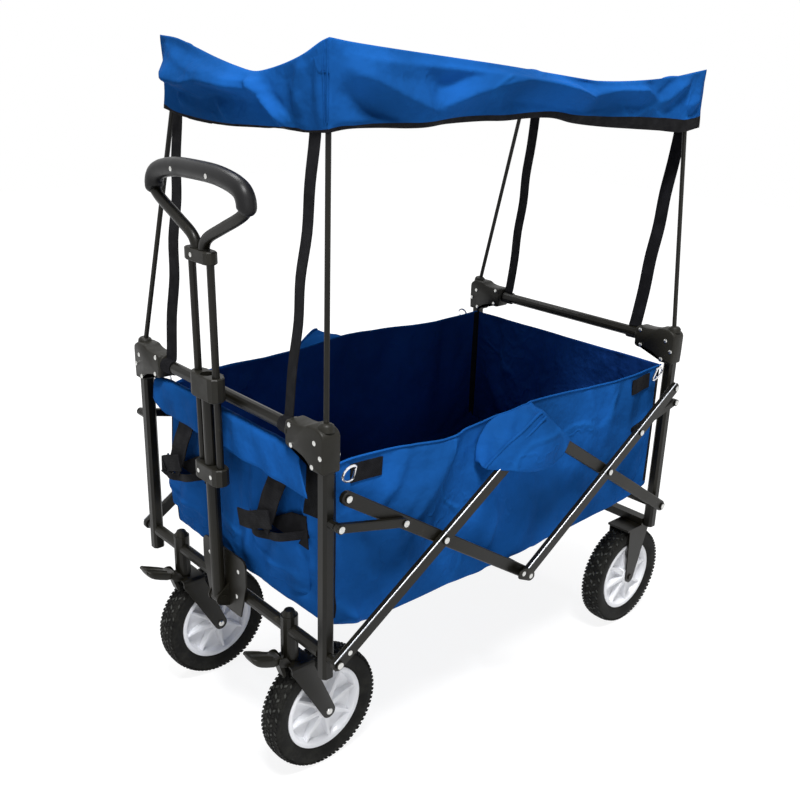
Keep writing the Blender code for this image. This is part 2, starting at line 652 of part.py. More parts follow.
def build_caster_fork(side, word):
    """The swivelling fork of a front wheel: stem, top plate, arms, axle, brake ears."""
    stem_x = -HALF_SPACING
    y = side * FRONT_WHEEL_Y
    axle_x = stem_x + CASTER_TRAIL
    underside = WHEEL_RADIUS + FORK_RISE
    top = underside + FORK_TOP
    half = arm_offset() + FORK_PLATE / 2
    name = f"{word}_caster_fork"
    fork = box(name, (stem_x - CASTER_PLATE[0], y - half, underside),
               (stem_x + CASTER_PLATE[1], y + half, top), STEEL, origin=(stem_x, y, top))
    for turn in (-1, 1):
        join(fork, fork_arm(f"{name}_arm", y + turn * arm_offset(), axle_x, stem_x - CASTER_ARM[0],
                            stem_x + CASTER_ARM[1], top - 0.0002))
    join(fork, rod(name + "_stem", (stem_x, y, underside + 0.001), (stem_x, y, HOUSING_TOP - 0.0055),
                   STEM_RADIUS, sides=16, tool=True))
    join(fork, rod(name + "_washer", (stem_x, y, top - 0.001), (stem_x, y, HOUSING_FOOT - SEAT),
                   HOUSING_RADIUS - 0.001, tool=True))
    pivot_x = stem_x + PEDAL_PIVOT[0]
    for turn in (-1, 1):
        ear_y = y + turn * (PEDAL_WIDTH / 2 + SEAT + FORK_PLATE / 2 + 0.0002)
        ear = [(pivot_x + 0.0125, underside + 0.0005)] + arc((pivot_x, PEDAL_PIVOT[1]), 0.0065, 20, 240, 6)
        join(fork, plate(name + "_ear", ear, FORK_PLATE, ALONG, (0, ear_y, 0), tool=True))
    reach = PEDAL_WIDTH / 2 + SEAT + FORK_PLATE
    join(fork, rod(name + "_pedal_pin", (pivot_x, y - reach, PEDAL_PIVOT[1]),
                   (pivot_x, y + reach, PEDAL_PIVOT[1]), 0.0022, sides=10, tool=True))
    fit_axle(fork, y, axle_x)


def build_brake_pedal(side, word):
    """The foot brake: a lever over the fork with a tongue that reaches to the tyre."""
    stem_x = -HALF_SPACING
    y = side * FRONT_WHEEL_Y
    pivot = Vector((stem_x + PEDAL_PIVOT[0], 0, PEDAL_PIVOT[1]))
    tip = Vector((stem_x + PEDAL_TIP[0], 0, PEDAL_TIP[1]))
    slope = (tip - pivot).normalized()
    across = Vector((slope.z, 0, -slope.x)) * PEDAL_THICKNESS / 2
    outline = []
    knuckle = math.degrees(math.atan2(across.z, across.x))
    outline += arc((pivot.x, pivot.z), 0.0048, knuckle, knuckle - 180, 6)
    bend = pivot + slope * 0.020
    outline += [((bend - across).x, (bend - across).z)]
    rounding = math.degrees(math.atan2(-across.z, -across.x))
    end = tip - slope * PEDAL_THICKNESS / 2
    outline += arc((end.x, end.z), PEDAL_THICKNESS / 2, rounding, rounding - 180, 4)
    outline += [((bend + across).x, (bend + across).z)]
    name = f"{word}_brake_pedal"
    pedal = plate(name, outline, PEDAL_WIDTH, ALONG, (0, y, 0), PLASTIC,
                  origin=(pivot.x, y, pivot.z))
    wheel_x = stem_x + CASTER_TRAIL
    shoe_radius = WHEEL_RADIUS + BRAKE_GAP
    shoe_angle = math.radians(129)
    shoe = (wheel_x + shoe_radius * math.cos(shoe_angle), WHEEL_RADIUS + shoe_radius * math.sin(shoe_angle))
    tongue = [(pivot.x - 0.0042, pivot.z), (shoe[0] - 0.0035, shoe[1] + 0.0015), shoe,
              (shoe[0] + 0.001, shoe[1] + 0.004), (pivot.x + 0.003, pivot.z)]
    join(pedal, plate(name + "_tongue", tongue, PEDAL_WIDTH * 0.6, ALONG, (0, y, 0), tool=True))
    cut(pedal, rod(name + "_bore", (pivot.x, y - PEDAL_WIDTH, pivot.z), (pivot.x, y + PEDAL_WIDTH, pivot.z),
                   0.0025, sides=10, tool=True))


def build_rear_axle():
    """The rear cross tube with the two fixed forks of the rear wheels."""
    x = HALF_SPACING
    low_end = LEG_INNER_FACE - SEAT
    underside = WHEEL_RADIUS + FORK_RISE
    half = arm_offset() + FORK_PLATE / 2
    width = REAR_BEAM_WIDTH / 2
    beam = box("rear_axle_beam", (x - width, -low_end, underside + FORK_TOP - 0.001),
               (x + width, low_end, underside + FORK_TOP + REAR_BEAM_HEIGHT), STEEL,
               origin=(x, 0, underside))
    for side, word in SIDES:
        y = side * REAR_WHEEL_Y
        top = underside + FORK_TOP
        join(beam, box(f"rear_{word}_fork_top", (x - REAR_PLATE[0], y - half, underside),
                       (x + REAR_PLATE[1], y + half, top), tool=True))
        for turn in (-1, 1):
            join(beam, fork_arm(f"rear_{word}_arm", y + turn * arm_offset(), REAR_AXLE_X,
                                x - REAR_ARM[0], x + REAR_ARM[1], top - 0.0002))
        fit_axle(beam, y, REAR_AXLE_X)


def turned(profile):
    """The mesh of a closed profile of radii and heights, turned about Y."""
    bm = bmesh.new()
    verts = [bm.verts.new((radius, y, 0)) for radius, y in profile]
    for index, vert in enumerate(verts):
        bm.edges.new((verts[index - 1], vert))
    mesh = bpy.data.meshes.new("profile")
    bm.to_mesh(mesh)
    bm.free()
    outline = place(mesh, "profile", None, tool=True)
    screw = outline.modifiers.new("turned", "SCREW")
    screw.axis = "Y"
    screw.steps = WHEEL_STEPS
    screw.render_steps = WHEEL_STEPS
    screw.use_merge_vertices = True
    screw.merge_threshold = 0.00001
    bpy.context.view_layer.update()
    graph = bpy.context.evaluated_depsgraph_get()
    solid = bpy.data.meshes.new_from_object(outline.evaluated_get(graph))
    bpy.data.objects.remove(outline, do_unlink=True)
    bm = bmesh.new()
    bm.from_mesh(solid)
    bmesh.ops.remove_doubles(bm, verts=bm.verts, dist=0.00002)
    bmesh.ops.recalc_face_normals(bm, faces=bm.faces)
    return bm


def wheel_step(face):
    """Which step of the turned wheel a face belongs to."""
    centre = face.calc_center_median()
    angle = math.atan2(centre.z, centre.x) % (2 * math.pi)
    return int(angle / (2 * math.pi) * WHEEL_STEPS)


def tyre_mesh():
    """A tyre turned about Y, with raised tread blocks in three staggered rows."""
    crown = WHEEL_RADIUS - TREAD_HEIGHT
    shoulder = crown - 0.007
    half = TYRE_WIDTH / 2
    seat = RIM_RADIUS + SEAT
    row = TREAD_ROW / 2
    bm = turned([(seat, -0.0145), (seat + 0.010, -half), (shoulder, -half + 0.0015), (crown, -row),
                 (crown, row), (shoulder, half - 0.0015), (seat + 0.010, half), (seat, 0.0145)])
    blocks = []
    for face in bm.faces:
        centre = face.calc_center_median()
        on_tread = math.hypot(centre.x, centre.z) > shoulder + 0.001
        in_middle = abs(centre.y) < row * 0.5
        if on_tread and in_middle == (wheel_step(face) % 2 == 1):
            blocks.append(face)
    raised = bmesh.ops.extrude_discrete_faces(bm, faces=blocks)
    for face in raised["faces"]:
        bmesh.ops.translate(bm, vec=face.normal * TREAD_HEIGHT * 0.9, verts=face.verts)
    return to_mesh(bm, "tyre", smooth=False)


def rim_mesh():
    """A moulded rim turned about Y, with drafted pockets that leave radial webs."""
    half = RIM_WIDTH / 2
    hub = HUB_WIDTH / 2
    bore = AXLE_RADIUS + SEAT
    lip = RIM_RADIUS - 0.0035
    bm = turned([(bore, -hub), (HUB_RADIUS, -hub), (HUB_RADIUS + 0.0015, -hub + 0.005), (lip, -half),
                 (RIM_RADIUS, -half), (RIM_RADIUS, half), (lip, half),
                 (HUB_RADIUS + 0.0015, hub - 0.005), (HUB_RADIUS, hub), (bore, hub)])
    pockets = []
    for face in bm.faces:
        centre = face.calc_center_median()
        on_side = HUB_RADIUS + 0.002 < math.hypot(centre.x, centre.z) < lip - 0.002
        if on_side and wheel_step(face) % 3:
            pockets.append(face)
    bmesh.ops.inset_region(bm, faces=pockets, thickness=0.0022, depth=-RIM_POCKET)
    return to_mesh(bm, "rim")


def build_wheels():
    """Four wheels alike, each a tyre on a rim."""
    tyre, rim = tyre_mesh(), rim_mesh()
    for side, word in SIDES:
        for end, x, y in (("front", -HALF_SPACING + CASTER_TRAIL, FRONT_WHEEL_Y),
                          ("rear", REAR_AXLE_X, REAR_WHEEL_Y)):
            spot = (x, side * y, WHEEL_RADIUS)
            place(tyre, f"{end}_{word}_tyre", RUBBER, spot)
            place(rim, f"{end}_{word}_rim", RIM, spot)


def build_handle_mount():
    """The gusset under the handle: a plate on the lower tube, two ears and a pin."""
    x = -HALF_SPACING - RAIL_RADIUS - SEAT - MOUNT_PLATE / 2
    low = MOUNT_HALF_WIDTH * 0.72
    outline = [(-low, MOUNT_FOOT), (low, MOUNT_FOOT), (MOUNT_HALF_WIDTH, MOUNT_TOP - 0.045)]
    outline += arc((MOUNT_HALF_WIDTH - 0.012, MOUNT_TOP - 0.012), 0.012, 0, 90, 3)
    outline += arc((-MOUNT_HALF_WIDTH + 0.012, MOUNT_TOP - 0.012), 0.012, 90, 180, 3)
    outline += [(-MOUNT_HALF_WIDTH, MOUNT_TOP - 0.045)]
    mount = plate("handle_mount", outline, MOUNT_PLATE, ACROSS, (x, 0, 0), STEEL,
                  origin=(x, 0, HANDLE_PIVOT_HEIGHT))
    ear_y = EAR_GAP + FORK_PLATE / 2
    for turn in (-1, 1):
        ear = [(x, HANDLE_PIVOT_HEIGHT - 0.016), (x, HANDLE_PIVOT_HEIGHT + 0.024)]
        ear += arc((HANDLE_X, HANDLE_PIVOT_HEIGHT), 0.0115, 110, 250, 7)
        join(mount, plate("handle_ear", ear, FORK_PLATE, ALONG, (0, turn * ear_y, 0), tool=True))
    reach = EAR_GAP + FORK_PLATE + RIVET_HEIGHT
    join(mount, rod("handle_pin", (HANDLE_X, -reach, HANDLE_PIVOT_HEIGHT),
                    (HANDLE_X, reach, HANDLE_PIVOT_HEIGHT), PIN_RADIUS, sides=12, tool=True))
    for turn in (-1, 1):
        head = EAR_GAP + FORK_PLATE - 0.0005
        join(mount, rod("handle_pin_head", (HANDLE_X, turn * head, HANDLE_PIVOT_HEIGHT),
                        (HANDLE_X, turn * reach, HANDLE_PIVOT_HEIGHT), RIVET_RADIUS, sides=12, tool=True))


def collar(name, foot, height, depth_back, axis, material, tube_slack, rod_slack, rod_from):
    """A moulded block round the handle tube and both rods."""
    block = plate(name, stadium_across(HANDLE_ROD_SPREAD - 0.003, COLLAR_DEPTH), height, LEVEL,
                  (0, 0, foot + height / 2), material, parent=axis, edge=0.0015)
    if depth_back:
        join(block, box(name + "_pad", (0, -0.016, foot + 0.002), (depth_back, 0.016, foot + height - 0.002),
                        tool=True))
    cut(block, rod(name + "_tube_hole", (0, 0, foot - 0.01), (0, 0, foot + height + 0.01),
                   HANDLE_TUBE_RADIUS + tube_slack, tool=True))
    for turn in (-1, 1):
        y = turn * HANDLE_ROD_SPREAD
        cut(block, rod(name + "_rod_hole", (0, y, rod_from), (0, y, foot + height + 0.01),
                       HANDLE_ROD_RADIUS + rod_slack, tool=True))
    return block


def stadium_across(half_length, radius):
    return [(-v, u) for u, v in stadium(half_length, radius, 5)]


def loop_route():
    """The bent tube of the handle: out of the neck, round under the grip, and back."""
    base = NECK_FOOT + NECK_HEIGHT - LOOP_SOCKET + 0.001
    foot = LOOP_FOOT_Y / LOOP_HALF_WIDTH
    spots = ((foot, 0), (foot * 1.05, 0.13), (0.20, 0.25), (0.51, 0.41), (0.90, 0.61), (1, 0.74),
             (0.90, 0.92), (0.51, 1.02), (0, 1.04))
    half = [Vector((0, LOOP_HALF_WIDTH * y, base + LOOP_HEIGHT * z)) for y, z in spots]
    other = [Vector((0, -point.y, point.z)) for point in reversed(half[:-1])]
    return smooth_route(half + other, ROUTE_STEPS)


def build_handle():
    """The handle: pivoting tube, its collar, and the sliding rods, loop and grip."""
    axis = bpy.data.objects.new("handle_axis", None)
    PARTS.objects.link(axis)
    axis.location = (HANDLE_X, 0, HANDLE_PIVOT_HEIGHT)
    axis.rotation_euler = (0, -HANDLE_TILT, 0)

    handle_tube = rod("handle_tube", (0, 0, 0), (0, 0, HANDLE_TUBE_LENGTH), HANDLE_TUBE_RADIUS, STEEL,
                      sides=20, parent=axis)
    knuckle = EAR_GAP - SEAT
    join(handle_tube, rod("handle_knuckle", (0, -knuckle, 0), (0, knuckle, 0), HANDLE_TUBE_RADIUS - 0.0001,
                          tool=True))
    cut(handle_tube, rod("handle_tube_bore", (0, -0.03, 0), (0, 0.03, 0), PIN_RADIUS + PIN_CLEARANCE,
                         sides=12, tool=True))

    rail_front = -HALF_SPACING - RAIL_RADIUS - SEAT
    tube_at_rail = HANDLE_X - (TOP_RAIL_HEIGHT - HANDLE_PIVOT_HEIGHT) * math.tan(HANDLE_TILT)
    pad = (rail_front - tube_at_rail) * math.cos(HANDLE_TILT) - 0.0004
    collar("handle_top_collar", COLLAR_FOOT, COLLAR_HEIGHT, pad, axis, PLASTIC, SEAT, 0.0004,
           COLLAR_FOOT - 0.01)
    collar("handle_slider", SLIDER_FOOT, SLIDER_HEIGHT, 0, axis, PLASTIC, 0.0004, SEAT,
           SLIDER_FOOT + 0.004)

    rod_foot = SLIDER_FOOT + 0.004 + SEAT
    rod_top = NECK_FOOT + ROD_SOCKET
    for side, word in SIDES:
        y = side * HANDLE_ROD_SPREAD
        rod(f"handle_{word}_rod", (0, y, rod_foot), (0, y, rod_top), HANDLE_ROD_RADIUS, STEEL, sides=14,
            parent=axis)
    neck = plate("handle_neck", stadium_across(HANDLE_ROD_SPREAD - 0.001, 0.0105), NECK_HEIGHT, LEVEL,
                 (0, 0, NECK_FOOT + NECK_HEIGHT / 2), PLASTIC, parent=axis, edge=0.0015)
    for turn in (-1, 1):
        y = turn * HANDLE_ROD_SPREAD
        cut(neck, rod("neck_rod_hole", (0, y, NECK_FOOT - 0.01), (0, y, rod_top + SEAT),
                      HANDLE_ROD_RADIUS + SEAT, tool=True))

    route = loop_route()
    neck_top = NECK_FOOT + NECK_HEIGHT
    tube("handle_loop", route, LOOP_RADIUS, STEEL, parent=axis)
    for turn in (-1, 1):
        y = turn * LOOP_FOOT_Y
        cut(neck, rod("neck_loop_hole", (0, y, neck_top - LOOP_SOCKET), (0, y, neck_top + 0.01),
                      LOOP_RADIUS + SEAT + 0.0007, sides=16, tool=True))
    middle = len(route) // 2
    reach = round(3.5 * ROUTE_STEPS)
    grip_route = route[middle - reach:middle + reach + 1]
    grip = tube("handle_grip", grip_route, GRIP_RADIUS, GRIP, parent=axis)
    channel = tube("grip_channel", route, LOOP_RADIUS + SEAT + 0.0003, tool=True)
    cut(grip, channel)


def build_canopy_posts():
    for side, word in SIDES:
        for end, x in (("front", -HALF_SPACING), ("rear", HALF_SPACING)):
            foot, top = post_line(side, x)
            rod(f"{end}_{word}_canopy_post", foot, top, POST_RADIUS, STEEL, origin=foot, sides=12)


def shell(name, bm, thickness, material, origin):
    """A closed skin of even thickness, inwards from an open surface."""
    obj = place(to_mesh(bm, name), name, material, origin)
    modifier = obj.modifiers.new("thickness", "SOLIDIFY")
    modifier.thickness = thickness
    modifier.offset = -1
    modifier.use_even_offset = True
    return obj


# Height of the valance's hem along X on a side, and along Y on an end
SIDE_HEM = ((-0.356, 0.954), (-0.240, 0.962), (-0.090, 0.967), (0.030, 0.967), (0.180, 0.952),
            (0.340, 0.937), (0.449, 0.939))
FRONT_HEM = ((-0.200, 0.954), (-0.115, 0.950), (0.060, 0.944), (0.134, 0.950), (0.200, 0.958))
REAR_HEM = ((-0.200, 0.939), (0.000, 0.946), (0.200, 0.939))

# Creases of the valance: a route of (X or Y, Z), the height of the ridge, and how far the
# cloth falls off on the left and on the right of that route
SIDE_RIDGES = (
    (((-0.345, 1.030), (-0.270, 1.004), (-0.194, 0.974)), 0.013, 0.050, 0.020),
    (((-0.190, 0.976), (-0.110, 1.000), (-0.030, 1.016), (0.050, 1.010), (0.122, 0.990)),
     0.012, 0.035, 0.024),
    (((0.150, 1.008), (0.230, 1.002), (0.300, 0.985), (0.345, 0.962)), 0.010, 0.030, 0.022),
    (((0.330, 0.965), (0.380, 1.000), (0.420, 1.018)), 0.006, 0.020, 0.018),
)
FRONT_RIDGES = (
    (((0.190, 1.010), (0.130, 0.994), (0.050, 0.999), (-0.020, 0.997)), 0.014, 0.024, 0.048),
    (((-0.040, 1.014), (-0.075, 0.985), (-0.120, 0.950)), 0.013, 0.022, 0.040),
)
REAR_RIDGES = (
    (((-0.180, 0.990), (-0.120, 0.978), (-0.040, 0.984), (0.030, 0.980)), 0.008, 0.040, 0.024),
    (((0.050, 0.996), (0.085, 0.970), (0.120, 0.945)), 0.007, 0.036, 0.022),
)


def eased(pairs, at):
    """A curve with level ends through (place, value) pairs."""
    for (start, low), (end, high) in zip(pairs, pairs[1:]):
        if at <= end:
            share = min(max((at - start) / (end - start), 0.0), 1.0)
            return low + (high - low) * share * share * (3 - 2 * share)
    return pairs[-1][1]


def ridge_depth(ridges, u, v):
    """How far the cloth stands out at a flat place (u, v), from ridges that fade at their ends."""
    place_at = Vector((u, v))
    depth = 0.0
    for route, height, left, right in ridges:
        route = [Vector(point) for point in route]
        whole = sum((b - a).length for a, b in zip(route, route[1:]))
        nearest, run = None, 0.0
        for a, b in zip(route, route[1:]):
            share = min(max((place_at - a).dot(b - a) / (b - a).length_squared, 0.0), 1.0)
            offset = place_at - a.lerp(b, share)
            turn = (b - a).cross(offset)
            if nearest is None or offset.length < nearest[0]:
                nearest = (offset.length, turn, (run + share * (b - a).length) / whole)
            run += (b - a).length
        distance, turn, along = nearest
        across = max(0.0, 1 - distance / (left if turn > 0 else right))
        fade = min(1.0, along / 0.18, (1 - along) / 0.18)
        depth += height * across ** 1.3 * (0.25 + 0.75 * fade)
    return depth


def valance_place(top, out, share):
    """A place on the valance: below a place of the top's edge, a share of the way to the hem."""
    if out.y:
        along, hem_line, ridges = top.x, SIDE_HEM, SIDE_RIDGES
        to_corner = min(top.x - CANOPY_FRONT_X, CANOPY_REAR_X - top.x)
    else:
        along, to_corner = top.y, CANOPY_WIDTH / 2 - abs(top.y)
        hem_line, ridges = (FRONT_HEM, FRONT_RIDGES) if out.x < 0 else (REAR_HEM, REAR_RIDGES)
    z = top.z + (eased(hem_line, along) - top.z) * share
    depth = ridge_depth(ridges, along, z) * min(1.0, share * 6)
    depth += VALANCE_BILLOW * math.sin(math.pi * share)
    depth *= min(1.0, to_corner / VALANCE_STIFF)
    return Vector((top.x, top.y, z)) + out * depth


def build_canopy():
    """One sheet: a top that hangs between its corners, and a creased valance all round."""
    columns, rows, drops = 24, 8, 6
    half = CANOPY_WIDTH / 2
    xs = [CANOPY_FRONT_X + (CANOPY_REAR_X - CANOPY_FRONT_X) * i / columns for i in range(columns + 1)]
    ys = [-half + CANOPY_WIDTH * j / rows for j in range(rows + 1)]
    bm = bmesh.new()
    grid = [[bm.verts.new((x, y, canopy_height(x, y))) for y in ys] for x in xs]
    for i in range(columns):
        for j in range(rows):
            bm.faces.new((grid[i][j], grid[i + 1][j], grid[i + 1][j + 1], grid[i][j + 1]))
    border = [(grid[i][0], Vector((0, -1, 0))) for i in range(columns)]
    border += [(grid[columns][j], Vector((1, 0, 0))) for j in range(rows)]
    border += [(grid[i][rows], Vector((0, 1, 0))) for i in range(columns, 0, -1)]
    border += [(grid[0][j], Vector((-1, 0, 0))) for j in range(rows, 0, -1)]
    rings = [[vert for vert, _ in border]]
    for drop in range(1, drops + 1):
        rings.append([bm.verts.new(valance_place(vert.co, out, drop / drops)) for vert, out in border])
    total = len(border)
    for upper, lower in zip(rings, rings[1:]):
        for index in range(total):
            after = (index + 1) % total
            bm.faces.new((upper[index], lower[index], lower[after], upper[after]))
    shell("canopy", bm, CANOPY_CLOTH, CLOTH, (0, 0, 0))


def build_strap(side, word, end):
    """A strap from a loop round the top rail up to the inside of the valance."""
    sign = -1 if end == "front" else 1
    rail_x = sign * HALF_SPACING
    edge = CANOPY_FRONT_X if end == "front" else CANOPY_REAR_X
    inside = edge - sign * (CANOPY_CLOTH + SEAT + STRAP_THICKNESS / 2)
    hem = eased(FRONT_HEM if end == "front" else REAR_HEM, side * STRAP_TOP_Y)
    loop_outer = RAIL_RADIUS + SEAT + STRAP_THICKNESS + 0.0004
    foot_z = TOP_RAIL_HEIGHT + loop_outer - STRAP_THICKNESS
    foot = Vector((rail_x, side * STRAP_FOOT_Y, foot_z))
    turn = Vector((inside, side * STRAP_TOP_Y, hem - 0.004))
    top = Vector((inside, side * STRAP_TOP_Y, hem + STRAP_OVERLAP))
    name = f"{end}_{word}_canopy_strap"
    bm = bmesh.new()
    across = Vector((0, STRAP_WIDTH / 2, 0))
    thick = Vector((STRAP_THICKNESS / 2, 0, 0))
    rings = []
    for point in (foot, turn, top):
        rings.append([bm.verts.new(point + a + b) for a, b in (
            (-across, -thick), (across, -thick), (across, thick), (-across, thick))])
    for lower, upper in zip(rings, rings[1:]):
        for index in range(4):
            after = (index + 1) % 4
            bm.faces.new((lower[index], lower[after], upper[after], upper[index]))
    bm.faces.new(rings[0])
    bm.faces.new(rings[-1])
    strap = place(to_mesh(bm, name), name, WEBBING, (0, 0, 0))
    ends = [(rail_x, side * STRAP_FOOT_Y + offset, TOP_RAIL_HEIGHT) for offset in
            (-STRAP_WIDTH / 2 + 0.0002, STRAP_WIDTH / 2 - 0.0002)]
    join(strap, rod(name + "_loop", ends[0], ends[1], loop_outer, tool=True))
    wide = [(rail_x, side * STRAP_FOOT_Y + offset, TOP_RAIL_HEIGHT) for offset in
            (-STRAP_WIDTH, STRAP_WIDTH)]
    cut(strap, rod(name + "_hole", wide[0], wide[1], RAIL_RADIUS + SEAT, tool=True))


def rim_height(x):
    """The bag's rim hangs a little between its corners."""
    share = x / HALF_SPACING
    return BAG_RIM - BAG_RIM_DIP * (1 - share ** 2)


def floor_height(x):
    """The bag's floor is level in the middle and rises towards both ends."""
    share = abs(x) / HALF_SPACING
    return BAG_FLOOR + BAG_END_RISE * min(1.0, max(0.0, share - 0.5) / 0.45) ** 2


def build_bag_body():
    """Floor and both sides of the bag, one skin bent up along its lower edges."""
    half = LEG_INNER_FACE - 0.0005
    end = HALF_SPACING - LEG_TUBE / 2 - 0.0003
    stations = 8
    bm = bmesh.new()
    rows = []
    for i in range(stations + 1):
        x = -end + 2 * end * i / stations
        rim, floor = rim_height(x), floor_height(x)
        section = [(-half, rim), (-half, (rim + floor) / 2), (-half, floor + 0.012),
                   (-half + 0.004, floor + 0.003), (-half + 0.014, floor), (0, floor)]
        section += [(-y, z) for y, z in reversed(section[:-1])]
        rows.append([bm.verts.new((x, y, z)) for y, z in section])
    for lower, upper in zip(rows, rows[1:]):
        for j in range(len(lower) - 1):
            bm.faces.new((lower[j], lower[j + 1], upper[j + 1], upper[j]))
    shell("bag_body", bm, BAG_CLOTH, CLOTH, (0, 0, 0))
    return end


def panel_outline(half):
    corner = 0.012
    outline = arc((half - corner, PANEL_FOOT + corner), corner, -90, 0, 3)
    outline += [(half, PANEL_TOP), (-half, PANEL_TOP)]
    outline += arc((-half + corner, PANEL_FOOT + corner), corner, 180, 270, 3)
    return outline


def half_oval(x, y, depth, radius):
    """Half of an oval in front of x, from one side of y to the other."""
    return [(x + depth * math.cos(math.radians(turn)), y + radius * math.sin(math.radians(turn)))
            for turn in range(90, 271, 30)]


def build_bag_panels():
    """The end panels of the bag; the front one carries two cup pockets."""
    half = LEG_INNER_FACE - 0.0005
    face = HALF_SPACING - LEG_TUBE / 2 + 0.0001
    middle = face + BAG_CLOTH / 2
    front = plate("bag_front_panel", panel_outline(half), BAG_CLOTH, ACROSS, (-middle, 0, 0), CLOTH,
                  origin=(-middle, 0, PANEL_FOOT))
    plate("bag_rear_panel", panel_outline(half), BAG_CLOTH, ACROSS, (middle, 0, 0), CLOTH,
          origin=(middle, 0, PANEL_FOOT))
    depth = LEG_TUBE + POCKET_STAND
    height = POCKET_TOP - POCKET_FOOT
    for side, word in SIDES:
        y = side * POCKET_Y
        outer = half_oval(-middle, y, depth, POCKET_RADIUS)
        inner = half_oval(-middle - BAG_CLOTH / 2, y, depth - BAG_CLOTH * 1.5, POCKET_RADIUS - BAG_CLOTH)
        join(front, plate(f"{word}_pocket", outer, height, LEVEL, (0, 0, POCKET_FOOT + height / 2), tool=True))
        cut(front, plate(f"{word}_pocket_space", inner, height, LEVEL,
                         (0, 0, POCKET_FOOT + height / 2 + BAG_CLOTH), tool=True))


def build_cart():
    build_frames()
    build_caster_beam()
    build_rear_axle()
    build_handle_mount()
    build_handle()
    for side, word in SIDES:
        build_scissor(side, word)
        build_caster_fork(side, word)
        build_brake_pedal(side, word)
        for end in ("front", "rear"):
            build_strap(side, word, end)
    build_wheels()
    build_canopy_posts()
    build_canopy()
    build_bag_body()
    build_bag_panels()


build_cart()
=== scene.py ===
"""Looks of the folding camping cart: finishes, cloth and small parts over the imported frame.

The cart stands along X, with its handle at -X, and +Z is up.  The photograph shows its left
side, which is at -Y.  Every length is in metres.
"""
import math

import bmesh
import bpy
from mathutils import Matrix, Vector


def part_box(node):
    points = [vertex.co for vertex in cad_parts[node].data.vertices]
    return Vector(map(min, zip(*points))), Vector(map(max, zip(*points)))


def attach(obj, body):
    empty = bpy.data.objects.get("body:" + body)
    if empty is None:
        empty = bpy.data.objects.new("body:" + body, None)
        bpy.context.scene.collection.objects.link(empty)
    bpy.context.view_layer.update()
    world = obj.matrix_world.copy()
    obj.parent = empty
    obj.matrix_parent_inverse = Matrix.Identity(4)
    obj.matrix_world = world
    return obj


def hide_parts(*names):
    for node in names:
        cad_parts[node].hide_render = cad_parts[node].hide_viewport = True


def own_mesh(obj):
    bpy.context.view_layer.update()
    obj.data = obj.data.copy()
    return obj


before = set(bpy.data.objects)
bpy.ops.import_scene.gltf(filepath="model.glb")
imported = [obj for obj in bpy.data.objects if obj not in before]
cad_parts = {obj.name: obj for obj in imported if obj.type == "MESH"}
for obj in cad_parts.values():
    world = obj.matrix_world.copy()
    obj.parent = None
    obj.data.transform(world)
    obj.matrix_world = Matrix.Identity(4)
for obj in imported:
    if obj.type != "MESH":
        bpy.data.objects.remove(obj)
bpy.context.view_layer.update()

# Camera, from the photograph
CAMERA_PLACE = (-1.0816, -1.1408, 1.0463)
CAMERA_HEADING = math.radians(-42.211)
CAMERA_DIP = math.radians(19.965)
CAMERA_ROLL = math.radians(1.808)
CAMERA_LENS = 43.26            # mm, on a sensor 36 mm wide
CAMERA_SENSOR = 36.0

SIDES = ((-1, "left"), (1, "right"))
ENDS = ((-1, "front"), (1, "rear"))

# The frame, as the CAD has it
LEG_X = 0.389
RAIL_Z = 0.572
PIVOT_Z = 0.2552
APEX_Z = 0.5098
LINK_TOP = (0.3689, 0.4966)    # where a link ends at the bag's corner, as (X, Z)
GUIDE_RIVET = (0.2749, 0.4350)
GUIDE_PIVOT_Z = 0.4625
WHEEL_RADIUS = 0.098
HANDLE_X = -0.4125
HANDLE_Z = 0.245
HANDLE_LEAN = math.radians(0.8)
BRACKET_HALF = 0.015           # half of a bracket's depth, along X
BRACKET_RIVETS = ((0.1795, 0.5830), (0.1830, 0.5555), (0.2340, 0.5745), (0.2462, 0.5570), (0.2290, 0.5395))
CASTER_TRAIL = 0.054           # stem axis to front axle
LOOP_HALF = 0.118
LOOP_HIGH = 0.108
LOOP_FOOT = 0.534              # along the handle from its pivot
LOOP_NECK = 0.0105             # half of the space between the loop's two feet
LOOP_RADIUS = 0.0080
GRIP_RADIUS = 0.0132
PLATE_HALF = 0.00125           # half of the thickness of a fork's plate
PLATE_EDGE = 0.0006

# Canopy
CANOPY_FRONT_X = -0.356
CANOPY_REAR_X = 0.449
CANOPY_HALF = 0.200
CANOPY_CELL = 0.0080
CANOPY_SAG = 0.012             # of the top sheet's middle
POST_RADIUS = 0.003
TIP_CLEAR = 0.0050             # height of the sheet over a post's tip
TIP_LEVEL = 0.007              # it is level so far around the tip, and then falls at TIP_SLOPE
TIP_SLOPE = 0.30
TIP_REACH = 0.024
TIP_DEPTH = 0.030              # verts further below the tip are the valance's
STRAP_FOOT_Y = 0.1570
STRAP_TOP_Y = 0.167
STRAP_WRAP = 0.0112            # radius of the strap's loop round the rail
STRAP_GAP = 0.0045             # from the valance to the strap inside it
VALANCE_HEIGHT = 0.104
CLOTH_THICKNESS = 0.0010

# Fabric body
BAG_END = 0.3778               # outer face of the front and rear panels
BAG_SIDE = 0.2290              # side walls at the corners, just inside the legs
BAG_CELL = 0.0085
CORNER_MARGIN = 0.018          # strip along each edge of a wall that its corner holds
FAR_CORNER_IN = 0.046
WALL_THICKNESS = 0.0014
TRIM_THICKNESS = 0.0012
TAB_SPANS = ((-0.3420, -0.2870), (0.2850, 0.3400))
RING_HALF = 0.0125
RING_Y = 0.2440
RING_Z = 0.5215
POCKET_HALF = 0.076
POCKET_FOOT = 0.323
WALL_HEIGHT = 0.260
CROSS_TUBE_TOP = 0.2664        # the floor lies on the tube
LINKS_INSIDE = 0.2512          # the bag's sides stay inside the links

